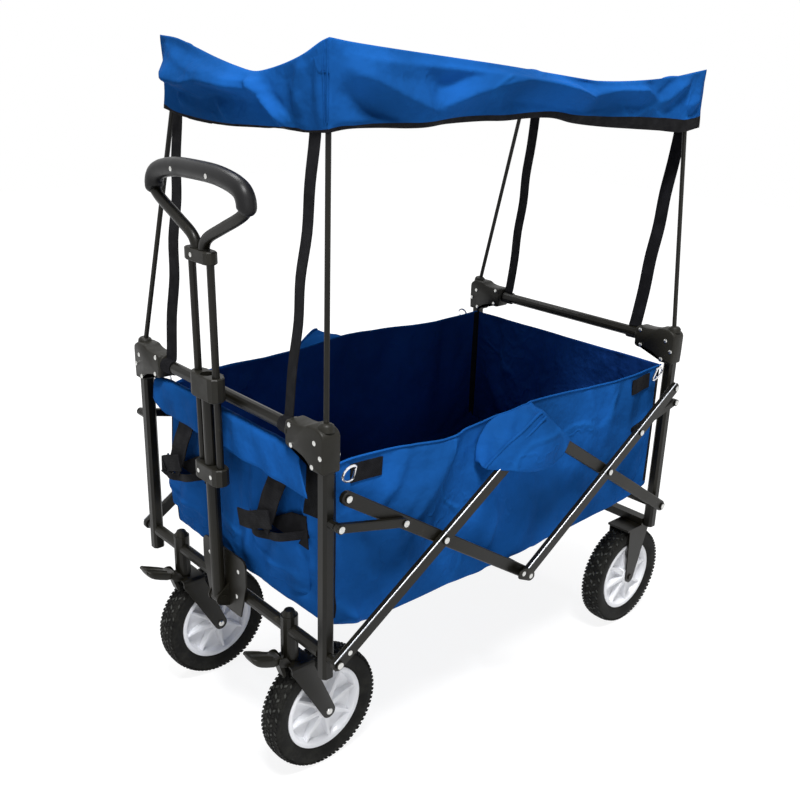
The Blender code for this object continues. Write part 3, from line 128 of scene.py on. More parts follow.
# Colours, as a shader takes them
BLUE = (0.011, 0.105, 0.400)
BLUE_DEEP = (0.007, 0.060, 0.215)
BLUE_PALE = (0.020, 0.230, 0.760)
# Inner faces of the cloth: the same polyester made darker, painted shade for the inside of the bag, the
# canopy's underside and the pockets' insides.
INSIDE_SHADED_BLUE = (0.009, 0.052, 0.230)
INSIDE_SHADED_DEEP = (0.006, 0.030, 0.140)
INSIDE_SHADED_PALE = (0.012, 0.095, 0.380)
COAT = (0.0070, 0.0062, 0.0036)
COAT_DEEP = (0.0032, 0.0029, 0.0018)
COAT_WORN = (0.090, 0.078, 0.050)
PLASTIC_GREY = (0.0110, 0.0103, 0.0078)


class Finish:
    """A material under construction: its tree, its shader and short calls for the nodes."""

    def __init__(self, name, **constants):
        self.material = bpy.data.materials.new(name)
        self.material.use_nodes = True
        self.nodes = self.material.node_tree.nodes
        self.links = self.material.node_tree.links
        self.shader = self.nodes["Principled BSDF"]
        for socket, value in constants.items():
            self.shader.inputs[socket.replace("_", " ")].default_value = value

    def node(self, kind, inputs=None, **settings):
        made = self.nodes.new("ShaderNode" + kind)
        for setting, value in settings.items():
            setattr(made, setting, value)
        for socket, value in (inputs or {}).items():
            if isinstance(value, bpy.types.NodeSocket):
                self.links.new(value, made.inputs[socket])
            else:
                made.inputs[socket].default_value = value
        return made

    def place(self):
        return self.node("TexCoord").outputs["Object"]

    def flat_place(self):
        return self.node("TexCoord").outputs["UV"]

    def noise(self, scale, detail=3, rough=0.55):
        inputs = {"Vector": self.place(), "Scale": scale, "Detail": detail, "Roughness": rough}
        return self.node("TexNoise", inputs).outputs["Fac"]

    def ramp(self, value, low, high, start=0.0, end=1.0):
        inputs = {"Value": value, "From Min": low, "From Max": high, "To Min": start, "To Max": end}
        return self.node("MapRange", inputs, interpolation_type="SMOOTHSTEP").outputs["Result"]

    def calc(self, first, second, operation="ADD"):
        return self.node("Math", {0: first, 1: second}, operation=operation).outputs[0]

    def blend(self, share, first, second):
        colours = {}
        for socket, colour in (("A", first), ("B", second)):
            is_socket = isinstance(colour, bpy.types.NodeSocket)
            colours[socket] = colour if is_socket else (*colour, 1.0)
        mix = self.node("Mix", data_type="RGBA")
        for index, value in ((0, share), (6, colours["A"]), (7, colours["B"])):
            if isinstance(value, bpy.types.NodeSocket):
                self.links.new(value, mix.inputs[index])
            else:
                mix.inputs[index].default_value = value
        return mix.outputs[2]

    def bump(self, height, distance, strength=1.0, under=None):
        inputs = {"Height": height, "Distance": distance, "Strength": strength}
        if under:
            inputs["Normal"] = under
        return self.node("Bump", inputs).outputs["Normal"]

    def finish(self, colour=None, roughness=None, normal=None):
        for socket, value in (("Base Color", colour), ("Roughness", roughness), ("Normal", normal)):
            if value is not None:
                self.links.new(value, self.shader.inputs[socket])
        return self.material


def coated_steel():
    """Olive black paint on tube: orange peel, dust in patches and rubbed places."""
    f = Finish("coated_steel", Specular_IOR_Level=0.22, Coat_Weight=0.04, Coat_Roughness=0.15)
    patches = f.noise(9, 4)
    rubbed = f.ramp(f.noise(55, 6, 0.7), 0.60, 0.76)
    colour = f.blend(f.ramp(patches, 0.3, 0.7), COAT_DEEP, COAT)
    colour = f.blend(f.calc(rubbed, 0.22, "MULTIPLY"), colour, COAT_WORN)
    normal = f.bump(f.noise(1400, 2), 0.00006, 0.5)
    return f.finish(colour, f.ramp(patches, 0.2, 0.8, 0.32, 0.50), normal)


def moulded_plastic(name, colour, pale, roughness=0.45, grain=1600):
    """Black plastic as it comes out of a mould: a fine grain and a few pale scuffs."""
    f = Finish(name, Specular_IOR_Level=0.20)
    scuffs = f.ramp(f.noise(85, 6, 0.75), 0.62, 0.80)
    tone = f.blend(f.ramp(f.noise(14, 3), 0.3, 0.7), colour, tuple(c * 1.35 for c in colour))
    tone = f.blend(f.calc(scuffs, 0.25, "MULTIPLY"), tone, pale)
    rough = f.ramp(f.noise(22, 4), 0.3, 0.7, roughness - 0.06, roughness + 0.10)
    normal = f.bump(f.noise(grain, 2), 0.00008, 0.6)
    return f.finish(tone, rough, normal)


def tyre_rubber(name, colour, pale):
    """Foam rubber with dust in its grain."""
    f = Finish(name, Specular_IOR_Level=0.08)
    dust = f.ramp(f.noise(38, 6, 0.7), 0.42, 0.75)
    colour = f.blend(f.calc(dust, 0.45, "MULTIPLY"), colour, pale)
    normal = f.bump(f.noise(700, 4, 0.7), 0.0003, 0.7)
    return f.finish(colour, f.ramp(dust, 0, 1, 0.62, 0.85), normal)


def white_plastic():
    """The rims: white moulded plastic, slightly soiled."""
    f = Finish("white_plastic", Specular_IOR_Level=0.5, Coat_Weight=0.15, Coat_Roughness=0.2)
    soil = f.ramp(f.noise(30, 5, 0.65), 0.50, 0.80)
    colour = f.blend(f.calc(soil, 0.35, "MULTIPLY"), (0.78, 0.79, 0.82), (0.50, 0.50, 0.49))
    normal = f.bump(f.noise(500, 3), 0.00008, 0.5)
    return f.finish(colour, f.ramp(soil, 0, 1, 0.30, 0.50), normal)


def plated_steel(name="plated_steel", colour=(0.62, 0.62, 0.60), roughness=0.25):
    """Zinc on rivets, screws and rings, with small dull spots."""
    f = Finish(name, Metallic=0.9)
    dull = f.ramp(f.noise(420, 4, 0.6), 0.45, 0.75)
    tone = f.blend(f.calc(dull, 0.5, "MULTIPLY"), colour, tuple(c * 0.6 for c in colour))
    normal = f.bump(f.noise(900, 2), 0.00003, 0.5)
    return f.finish(tone, f.ramp(dull, 0, 1, roughness, roughness + 0.2), normal)


def woven(name, colour, deep, pale, roughness=0.5):
    """Coated polyester: a fine plain weave, soft crumple and thin creases that are paler along their lines.
    """
    f = Finish(name, IOR=1.03)
    flat = f.flat_place()
    warp = f.node("TexWave", {"Vector": flat, "Scale": 330.0}, bands_direction="X").outputs["Fac"]
    weft = f.node("TexWave", {"Vector": flat, "Scale": 330.0}, bands_direction="Y").outputs["Fac"]
    weave = f.calc(warp, weft, "MULTIPLY")
    soft = f.noise(10, 4, 0.55)
    patches = f.ramp(f.noise(9, 2), 0.48, 0.66)

    def lines(scale, detail, rough, width):
        """1 along the lines where a noise passes its middle, in patches."""
        from_middle = f.calc(f.calc(f.noise(scale, detail, rough), 0.5, "SUBTRACT"), 0, "ABSOLUTE")
        return f.calc(f.ramp(from_middle, 0.0, width, 1.0, 0.0), patches, "MULTIPLY")

    creases = lines(7, 1, 0.4, 0.035)
    small = lines(19, 2, 0.5, 0.05)
    tone = f.blend(f.ramp(f.noise(5, 4), 0.30, 0.72), deep, colour)
    tone = f.blend(f.calc(creases, 0.10, "MULTIPLY"), tone, pale)
    tone = f.blend(f.ramp(weave, 0.0, 0.6, 0.12, 0.0), tone, deep)
    normal = f.bump(soft, 0.022, 0.5)
    normal = f.bump(creases, 0.0040, 0.6, normal)
    normal = f.bump(small, 0.0016, 0.5, normal)
    normal = f.bump(weave, 0.00012, 0.35, normal)
    rough = f.ramp(f.noise(24, 3), 0.3, 0.7, roughness - 0.07, roughness + 0.09)
    return f.finish(tone, rough, normal)


def webbing():
    """Black strap: ribs along its length and a coarse diagonal weave."""
    f = Finish("black_webbing", Sheen_Weight=0.01, Sheen_Roughness=0.5, Specular_IOR_Level=0.10)
    flat = f.flat_place()
    ribs = f.node("TexWave", {"Vector": flat, "Scale": 120.0}, bands_direction="X").outputs["Fac"]
    picks = f.node("TexWave", {"Vector": flat, "Scale": 180.0, "Distortion": 0.6},
                   bands_direction="DIAGONAL").outputs["Fac"]
    height = f.calc(ribs, picks, "MULTIPLY")
    colour = f.blend(f.ramp(f.noise(40, 4), 0.35, 0.75), (0.0035, 0.0035, 0.0045), (0.0090, 0.0090, 0.0110))
    colour = f.blend(f.ramp(height, 0.2, 0.9, 0.0, 0.4), colour, (0.0140, 0.0140, 0.0160))
    normal = f.bump(height, 0.0005, 0.6)
    return f.finish(colour, f.ramp(f.noise(60, 2), 0.3, 0.7, 0.72, 0.90), normal)


STEEL = coated_steel()
PLASTIC = moulded_plastic("black_plastic", PLASTIC_GREY, (0.16, 0.15, 0.13))
GRIP = moulded_plastic("grip_plastic", (0.0075, 0.0075, 0.0080), (0.05, 0.05, 0.05), 0.36, 900)
RUBBER = tyre_rubber("tyre_rubber", (0.0085, 0.0085, 0.0080), (0.050, 0.050, 0.044))
DUSTY_RUBBER = tyre_rubber("dusty_rubber", (0.050, 0.052, 0.048), (0.110, 0.112, 0.105))
WHITE = white_plastic()
PLATED = plated_steel()
CHROME = plated_steel("chrome", (0.80, 0.80, 0.82), 0.08)
# A thin grey metal strip along the rising links, a painted highlight on their upper edges.
EDGE_HIGHLIGHT = plated_steel("worn_edge", (0.30, 0.31, 0.33), 0.42)
CLOTH = woven("blue_polyester", BLUE, BLUE_DEEP, BLUE_PALE)
# The darker inner face of the cloth is painted shade, not a lining of its own.
SHADED_LINING = woven("blue_polyester_painted_shade", INSIDE_SHADED_BLUE, INSIDE_SHADED_DEEP, INSIDE_SHADED_PALE, 0.6)
WEBBING = webbing()

SLOT_FINISH = {"coated_steel": STEEL, "black_plastic": PLASTIC, "grip_plastic": GRIP,
               "tyre_rubber": RUBBER, "white_plastic": WHITE, "blue_polyester": CLOTH,
               "black_webbing": WEBBING}


def make_piece(name, bm, materials, body=None, smooth=40):
    """Turn a bmesh into a piece that rides on a CAD body."""
    mesh = bpy.data.meshes.new(name)
    bm.to_mesh(mesh)
    bm.free()
    for material in materials:
        mesh.materials.append(material)
    mesh.shade_smooth()
    if smooth:
        mesh.set_sharp_from_angle(angle=math.radians(smooth))
    obj = bpy.data.objects.new(name, mesh)
    bpy.context.scene.collection.objects.link(obj)
    if body:
        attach(obj, body)
    return obj


def solid_piece(name, bm, materials, body=None, smooth=40):
    """A piece from closed meshes, with their faces turned outwards."""
    bmesh.ops.recalc_face_normals(bm, faces=bm.faces)
    return make_piece(name, bm, materials, body, smooth)


def apply_modifiers(obj):
    """Keep the mesh as the modifiers make it."""
    bpy.context.view_layer.update()
    graph = bpy.context.evaluated_depsgraph_get()
    made = bpy.data.meshes.new_from_object(obj.evaluated_get(graph), depsgraph=graph)
    obj.modifiers.clear()
    old = obj.data
    obj.data = made
    bpy.data.meshes.remove(old)


def finish_nodes():
    """Give every carried-over CAD node its finish."""
    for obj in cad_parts.values():
        slots = [slot.material.name.split(".")[0] for slot in obj.material_slots if slot.material]
        finish = SLOT_FINISH.get(slots[0] if slots else "", PLASTIC)
        obj.data.materials.clear()
        obj.data.materials.append(finish)


def skin_rings(bm, lower, upper):
    """Faces between two rings of verts; a ring of one vert is a point."""
    made = []
    count = max(len(lower), len(upper))
    for index in range(count):
        after = (index + 1) % count
        if len(lower) == 1:
            corners = (lower[0], upper[after], upper[index])
        elif len(upper) == 1:
            corners = (lower[index], lower[after], upper[0])
        else:
            corners = (lower[index], lower[after], upper[after], upper[index])
        made.append(bm.faces.new(corners))
    return made


def loft(bm, rings):
    """Faces from ring to ring, and a cap on both ends."""
    made = []
    for lower, upper in zip(rings, rings[1:]):
        made += skin_rings(bm, lower, upper)
    made.append(bm.faces.new(list(reversed(rings[0]))))
    made.append(bm.faces.new(rings[-1]))
    return made


def lathe(bm, profile, centre, axis, steps=24, closed=False):
    """Turn a profile of (radius, height) about an axis through centre."""
    centre, axis = Vector(centre), Vector(axis).normalized()
    first = axis.orthogonal().normalized()
    second = axis.cross(first)
    rings = []
    for radius, height in profile:
        middle = centre + axis * height
        if radius < 1e-6:
            rings.append([bm.verts.new(middle)])
            continue
        turns = [2 * math.pi * step / steps for step in range(steps)]
        rings.append([bm.verts.new(middle + (first * math.cos(t) + second * math.sin(t)) * radius)
                      for t in turns])
    pairs = list(zip(rings, rings[1:])) + ([(rings[-1], rings[0])] if closed else [])
    for lower, upper in pairs:
        skin_rings(bm, lower, upper)


def dome(bm, place, axis, radius, height):
    """The round head of a rivet, standing on a face."""
    profile = [(0, -0.0005), (radius, -0.0005), (radius, height * 0.35), (radius * 0.78, height * 0.78),
               (radius * 0.42, height), (0, height)]
    lathe(bm, profile, place, axis, 16)


def pipe(bm, route, radius, sides=12, across=None):
    """A closed bar along a route.  radius may differ from place to place."""
    route = [Vector(place) for place in route]
    radii = list(radius) if isinstance(radius, (list, tuple)) else [radius] * len(route)
    side = Vector(across).normalized() if across else None
    rings = []
    for index, place in enumerate(route):
        ahead = (route[min(index + 1, len(route) - 1)] - route[max(index - 1, 0)]).normalized()
        side = ahead.orthogonal() if side is None else side - ahead * side.dot(ahead)
        side.normalize()
        other = ahead.cross(side)
        ring = []
        for step in range(sides):
            turn = 2 * math.pi * step / sides
            offset = side * math.cos(turn) + other * math.sin(turn)
            ring.append(bm.verts.new(place + offset * radii[index]))
        rings.append(ring)
    loft(bm, rings)


def ribbon(bm, route, across, width, thickness):
    """A flat band along a route, with its flat place in metres as UV.

    across is one direction for the whole route, or a list with one for each place.
    """
    uv = bm.loops.layers.uv.verify()
    route = [Vector(place) for place in route]
    sides = [Vector(a) for a in across] if isinstance(across, list) else [Vector(across)] * len(route)
    flat, rings, run = {}, [], 0.0
    for index, place in enumerate(route):
        ahead = (route[min(index + 1, len(route) - 1)] - route[max(index - 1, 0)]).normalized()
        side = (sides[index] - ahead * sides[index].dot(ahead)).normalized()
        out = ahead.cross(side) * thickness / 2
        ring = []
        for share, lift in ((-1, -1), (1, -1), (1, 1), (-1, 1)):
            vert = bm.verts.new(place + side * share * width / 2 + out * lift)
            flat[vert] = (share * width / 2, run)
            ring.append(vert)
        rings.append(ring)
        if index + 1 < len(route):
            run += (route[index + 1] - place).length
    for face in loft(bm, rings):
        for loop in face.loops:
            loop[uv].uv = flat[loop.vert]


def patch(bm, columns, rows, place, flat):
    """An open sheet of columns by rows; place and flat give a spot for (u, v) from 0 to 1."""
    uv = bm.loops.layers.uv.verify()
    grid, spots = [], {}
    for i in range(columns + 1):
        line = []
        for j in range(rows + 1):
            u, v = i / columns, j / rows
            vert = bm.verts.new(place(u, v))
            spots[vert] = flat(u, v)
            line.append(vert)
        grid.append(line)
    for i in range(columns):
        for j in range(rows):
            face = bm.faces.new((grid[i][j], grid[i][j + 1], grid[i + 1][j + 1], grid[i + 1][j]))
            for loop in face.loops:
                loop[uv].uv = spots[loop.vert]


def curve_through(points, steps=6):
    """A smooth route through the points."""
    points = [Vector(point) for point in points]
    ends = [points[0] * 2 - points[1]] + points + [points[-1] * 2 - points[-2]]
    route = []
    for index in range(1, len(ends) - 2):
        before, start, end, after = ends[index - 1:index + 3]
        for step in range(steps):
            t = step / steps
            route.append(0.5 * (2 * start + (end - before) * t
                                + (2 * before - 5 * start + 4 * end - after) * t ** 2
                                + (3 * start - before - 3 * end + after) * t ** 3))
    route.append(points[-1].copy())
    return route


def at_share(route, share):
    """The place a share of the way along a route, counted by its length."""
    lengths = [(b - a).length for a, b in zip(route, route[1:])]
    left = share * sum(lengths)
    for index, length in enumerate(lengths):
        if left <= length or index == len(lengths) - 1:
            return route[index].lerp(route[index + 1], min(1.0, left / max(length, 1e-9)))
        left -= length


def subdivide(obj):
    """Round off a sheet's cells once."""
    finer = obj.modifiers.new("finer", "SUBSURF")
    finer.levels = finer.render_levels = 1


def thicken(obj, thickness, offset=-1.0, inside=0):
    """Give an open sheet its thickness; with inside=1 its inner face takes the next material, for cloth the
    darker copy that paints shade.
    """
    skin = obj.modifiers.new("thickness", "SOLIDIFY")
    skin.thickness = thickness
    skin.offset = offset
    skin.material_offset = inside
    apply_modifiers(obj)


def settle(obj, held, frames, grow, cap):
    """Let cloth that is a little too large buckle between the verts that hold it.

    grow is the share by which it is too large, and cap is how far a vert may move.
    """
    start = [vert.co.copy() for vert in obj.data.vertices]
    group = obj.vertex_groups.new(name="held")
    group.add(sorted(held), 1.0, "REPLACE")
    cloth = obj.modifiers.new("cloth", "CLOTH")
    setting = cloth.settings
    setting.quality = 6
    setting.mass = 0.2
    setting.tension_stiffness = 20
    setting.compression_stiffness = 20
    setting.shear_stiffness = 8
    setting.bending_stiffness = 0.4
    setting.tension_damping = setting.compression_damping = setting.shear_damping = 8
    setting.shrink_min = -grow
    setting.vertex_group_mass = "held"
    cloth.collision_settings.use_collision = False
    cloth.point_cache.frame_start = 1
    cloth.point_cache.frame_end = frames
    for number in range(1, frames + 1):
        bpy.context.scene.frame_set(number)
    apply_modifiers(obj)
    bpy.context.scene.frame_set(1)
    obj.vertex_groups.clear()
    for vert, before in zip(obj.data.vertices, start):
        moved = vert.co - before
        if moved.length > cap:
            vert.co = before + moved * (cap / moved.length)


def smooth_between(pairs, at):
    """A smooth curve through (place, value) pairs."""
    if at <= pairs[0][0]:
        return pairs[0][1]
    if at >= pairs[-1][0]:
        return pairs[-1][1]
    slopes = []
    for index in range(len(pairs)):
        before, after = pairs[max(index - 1, 0)], pairs[min(index + 1, len(pairs) - 1)]
        slopes.append((after[1] - before[1]) / (after[0] - before[0]))
    index = max(k for k in range(len(pairs) - 1) if pairs[k][0] <= at)
    (start, low), (end, high) = pairs[index], pairs[index + 1]
    span = end - start
    t = (at - start) / span
    return (low * (1 + 2 * t) * (1 - t) ** 2 + high * t * t * (3 - 2 * t)
            + slopes[index] * span * t * (1 - t) ** 2 - slopes[index + 1] * span * t * t * (1 - t))


def ridge_depth(ridges, u, v):
    """How far cloth stands out at a flat place (u, v).

    A ridge is a route of places, its height, and how far it falls off on its left and on its
    right.  It fades towards both of its ends.
    """
    place = Vector((u, v))
    total = 0.0
    for route, height, left, right in ridges:
        lengths = [(Vector(b) - Vector(a)).length for a, b in zip(route, route[1:])]
        whole = sum(lengths)
        best, run = None, 0.0
        for (a, b), length in zip(zip(route, route[1:]), lengths):
            a, b = Vector(a), Vector(b)
            share = min(max((place - a).dot(b - a) / length ** 2, 0.0), 1.0)
            offset = place - (a + (b - a) * share)
            side = (b - a).x * offset.y - (b - a).y * offset.x
            if best is None or offset.length < best[0]:
                best = (offset.length, side, (run + share * length) / whole)
            run += length
        distance, side, along = best
        reach = left if side > 0 else right
        across = max(0.0, 1 - distance / reach)
        fade = min(1.0, along / 0.18, (1 - along) / 0.18)
        total += height * across ** 1.08 * (0.25 + 0.75 * fade)
    return total


# Edges of the canopy's top sheet and its hem, as (Y, Z) on an end and (X, Z) on a side
FRONT_EDGE = ((-0.200, 1.0590), (-0.184, 1.0545), (-0.150, 1.0400), (-0.112, 1.0285), (-0.070, 1.0195),
              (-0.042, 1.0165), (0.000, 1.0220), (0.050, 1.0315), (0.100, 1.0430), (0.150, 1.0540),
              (0.200, 1.0580))
NEAR_EDGE = ((-0.356, 1.0590), (-0.325, 1.0550), (-0.265, 1.0495), (-0.162, 1.0410), (-0.053, 1.0320),
             (0.050, 1.0220), (0.140, 1.0135), (0.185, 1.0110), (0.240, 1.0125), (0.320, 1.0170),
             (0.410, 1.0250), (0.449, 1.0320))
FAR_EDGE = ((-0.356, 1.0580), (-0.320, 1.0400), (-0.260, 1.0170), (-0.190, 1.0030), (-0.080, 0.9980),
            (0.080, 0.9990), (0.240, 1.0030), (0.380, 1.0090), (0.449, 1.0180))
REAR_EDGE = ((-0.200, 1.0320), (-0.120, 1.0150), (0.000, 1.0050), (0.120, 1.0080), (0.200, 1.0180))
FRONT_HEM = ((-0.200, 0.9515), (-0.147, 0.9480), (-0.106, 0.9490), (-0.042, 0.9470), (0.028, 0.9440),
             (0.104, 0.9450), (0.168, 0.9500), (0.200, 0.9560))
NEAR_HEM = ((-0.356, 0.9515), (-0.323, 0.9550), (-0.278, 0.9550), (-0.210, 0.9530), (-0.157, 0.9570),
            (-0.092, 0.9590), (-0.045, 0.9585), (0.007, 0.9610), (0.058, 0.9600), (0.103, 0.9520),
            (0.174, 0.9450), (0.249, 0.9400), (0.329, 0.9350), (0.403, 0.9300), (0.449, 0.9370))
FAR_HEM = ((-0.356, 0.9560), (-0.250, 0.9500), (-0.100, 0.9470), (0.100, 0.9440), (0.300, 0.9380),
           (0.449, 0.9340))
REAR_HEM = ((-0.200, 0.9370), (-0.100, 0.9380), (0.000, 0.9400), (0.100, 0.9370), (0.200, 0.9340))
CANOPY_EDGE = {"front": FRONT_EDGE, "left": NEAR_EDGE, "rear": REAR_EDGE, "right": FAR_EDGE}
CANOPY_HEM = {"front": FRONT_HEM, "left": NEAR_HEM, "rear": REAR_HEM, "right": FAR_HEM}
# Width of the black along the hem: a black tape, drawn wider where the hem's shaded inside shows, so partly
# painted shade
HEM_TAPE_AND_SHADE = {
    "front": ((-0.200, 0.004), (0.200, 0.006)),
    "left": ((-0.356, 0.004), (-0.250, 0.010), (0.030, 0.012), (0.170, 0.019), (0.400, 0.024),
             (0.449, 0.020)),
    "rear": ((-0.200, 0.020), (0.200, 0.016)),
    "right": ((-0.356, 0.006), (0.449, 0.016)),
}

# Folds of the valance: a route, how far it stands out, and how far it falls off left and right
NEAR_CREASES = (
    (((-0.338, 1.026), (-0.270, 1.000), (-0.190, 0.971)), 0.031, 0.046, 0.024),
    (((-0.325, 1.044), (-0.220, 1.034), (-0.100, 1.026), (0.020, 1.019)), 0.013, 0.010, 0.022),
    (((-0.200, 0.975), (-0.130, 0.998), (-0.035, 1.017), (0.040, 1.011), (0.122, 0.990)),
     0.026, 0.020, 0.028),
    (((0.040, 1.012), (0.118, 0.992), (0.200, 1.003), (0.265, 1.001), (0.318, 0.980)), 0.020, 0.016, 0.022),
    (((0.318, 0.978), (0.372, 1.008), (0.405, 1.018)), 0.015, 0.013, 0.018),
    (((0.392, 0.974), (0.432, 0.985), (0.447, 0.990)), 0.010, 0.012, 0.018),
    (((-0.345, 0.965), (-0.290, 0.968), (-0.225, 0.960)), 0.010, 0.012, 0.010),
    (((0.060, 0.970), (0.110, 0.966), (0.160, 0.972)), 0.006, 0.010, 0.012),
)
FRONT_CREASES = (
    (((0.196, 1.010), (0.150, 0.999), (0.097, 0.993), (0.055, 1.001), (0.010, 0.998), (-0.050, 0.994)),
     0.036, 0.012, 0.050),
    (((-0.038, 1.016), (-0.062, 0.994), (-0.085, 0.976), (-0.118, 0.952)), 0.023, 0.009, 0.012),
    (((-0.150, 1.034), (-0.135, 1.000), (-0.140, 0.968)), 0.008, 0.014, 0.030),
    (((-0.192, 1.045), (-0.180, 1.000), (-0.184, 0.960)), 0.006, 0.010, 0.010),
    (((0.150, 0.985), (0.138, 0.965)), 0.009, 0.012, 0.012),
    (((0.170, 1.040), (0.100, 1.018), (0.050, 1.012)), 0.005, 0.008, 0.010),
    (((0.040, 0.980), (0.020, 0.955)), 0.008, 0.012, 0.012),
)
CANOPY_CREASES = {
    "front": FRONT_CREASES,
    "left": NEAR_CREASES,
    "rear": [([(-y, z - 0.018) for y, z in route], height * 0.55, right, left)
             for route, height, left, right in FRONT_CREASES],
    "right": [([(x, z - 0.012) for x, z in route], height * 0.6, left, right)
              for route, height, left, right in NEAR_CREASES],
}
OUTWARD = {"front": Vector((-1, 0, 0)), "left": Vector((0, -1, 0)), "rear": Vector((1, 0, 0)),
           "right": Vector((0, 1, 0))}


def canopy_top(u, v):
    """Height of the top sheet.  u runs from front to rear, v from the right side to the left."""
    x = CANOPY_FRONT_X + (CANOPY_REAR_X - CANOPY_FRONT_X) * u
    y = CANOPY_HALF - 2 * CANOPY_HALF * v
    sides = smooth_between(FAR_EDGE, x) * (1 - v) + smooth_between(NEAR_EDGE, x) * v
    ends = smooth_between(FRONT_EDGE, y) * (1 - u) + smooth_between(REAR_EDGE, y) * u
    corners = ((FAR_EDGE[0][1] * (1 - v) + NEAR_EDGE[0][1] * v) * (1 - u)
               + (FAR_EDGE[-1][1] * (1 - v) + NEAR_EDGE[-1][1] * v) * u)
    return sides + ends - corners - CANOPY_SAG * math.sin(math.pi * u) * math.sin(math.pi * v)


def valance_place(word, along, share):
    """A place on the valance, a share of the way from the top edge down to the hem."""
    top = smooth_between(CANOPY_EDGE[word], along)
    z = top + (smooth_between(CANOPY_HEM[word], along) - top) * share
    if word in ("left", "right"):
        to_corner = min(CANOPY_REAR_X - along, along - CANOPY_FRONT_X)
        edge = Vector((along, OUTWARD[word].y * CANOPY_HALF, z))
    else:
        to_corner = CANOPY_HALF - abs(along)
        edge = Vector((CANOPY_FRONT_X if word == "front" else CANOPY_REAR_X, along, z))
    depth = ridge_depth(CANOPY_CREASES[word], along, z) * min(1.0, share * 7)
    depth += 0.004 * math.sin(math.pi * share) - 0.003 * share
    return edge + OUTWARD[word] * depth * min(1.0, to_corner / 0.022)


def skirted_sheet(bm, columns, rows, spot, skirt, drops, upward):
    """One skin: a sheet of columns by rows and rings of a skirt from its border, with flat places as UV.

    spot(i, j) gives a place of the sheet.  skirt(place, word, drop) gives the skirt's place for one of
    the border, and how far that is along the flat cloth.  Returns the rings, the side that each
    place of the border is on, and the skirt's faces as (face, ring, place on the border).
    """
    uv = bm.loops.layers.uv.new("flat")
    flat, grid = {}, []
    for i in range(columns + 1):
        line = []
        for j in range(rows + 1):
            place = spot(i, j)
            vert = bm.verts.new(place)
            flat[vert] = place[:2]
            line.append(vert)
        grid.append(line)

    def quad(a, b, c, d):
        return bm.faces.new((a, b, c, d) if upward else (a, d, c, b))

    for i in range(columns):
        for j in range(rows):
            quad(grid[i][j], grid[i + 1][j], grid[i + 1][j + 1], grid[i][j + 1])
    # The border runs round from the front right corner: front, left side, rear, right side
    border = [(grid[0][j], "front") for j in range(rows)]
    border += [(grid[i][rows], "left") for i in range(columns)]
    border += [(grid[columns][j], "rear") for j in range(rows, 0, -1)]
    border += [(grid[i][0], "right") for i in range(columns, 0, -1)]
    rings = [[vert for vert, _ in border]]
    for drop in range(1, drops + 1):
        ring = []
        for vert, word in border:
            place, run = skirt(vert.co, word, drop)
            made = bm.verts.new(place)
            flat[made] = (flat[vert][0] + OUTWARD[word].x * run, flat[vert][1] + OUTWARD[word].y * run)
            ring.append(made)
        rings.append(ring)
    faces = []
    for drop, (ring, following) in enumerate(zip(rings, rings[1:])):
        for k in range(len(border)):
            after = (k + 1) % len(border)
            faces.append((quad(ring[k], ring[after], following[after], following[k]), drop, k))
    for face in bm.faces:
        for loop in face.loops:
            loop[uv].uv = flat[loop.vert]
    bm.verts.index_update()
    return rings, [word for _, word in border], faces


def squash_canopy(piece):
    """Give a piece of the canopy its own copy of its mesh."""
    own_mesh(piece)


def squash_bag(piece):
    """Give a piece of the bag its own copy of its mesh."""
    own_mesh(piece)


def rest_on_posts(sheet):
    """Lift the sheet where it would sink below the tip of a post, with a soft slope around the tip.

    Over a rear post the lift goes on for a way in front of the tip.
    """
    for end, way in (("front", 0.0), ("rear", 0.044)):
        for side, word in SIDES:
            low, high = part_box(f"{end}_{word}_canopy_post")
            tip_x, tip_y = high.x - POST_RADIUS, side * (min(abs(low.y), abs(high.y)) + POST_RADIUS)
            for vert in sheet.data.vertices:
                beyond = max(tip_x - way - vert.co.x, vert.co.x - tip_x, 0.0)
                away = math.hypot(beyond, vert.co.y - tip_y)
                if away < TIP_REACH and vert.co.z > high.z - TIP_DEPTH:
                    fall = TIP_SLOPE * max(0.0, away - TIP_LEVEL)
                    vert.co.z = max(vert.co.z, high.z + TIP_CLEAR - fall)


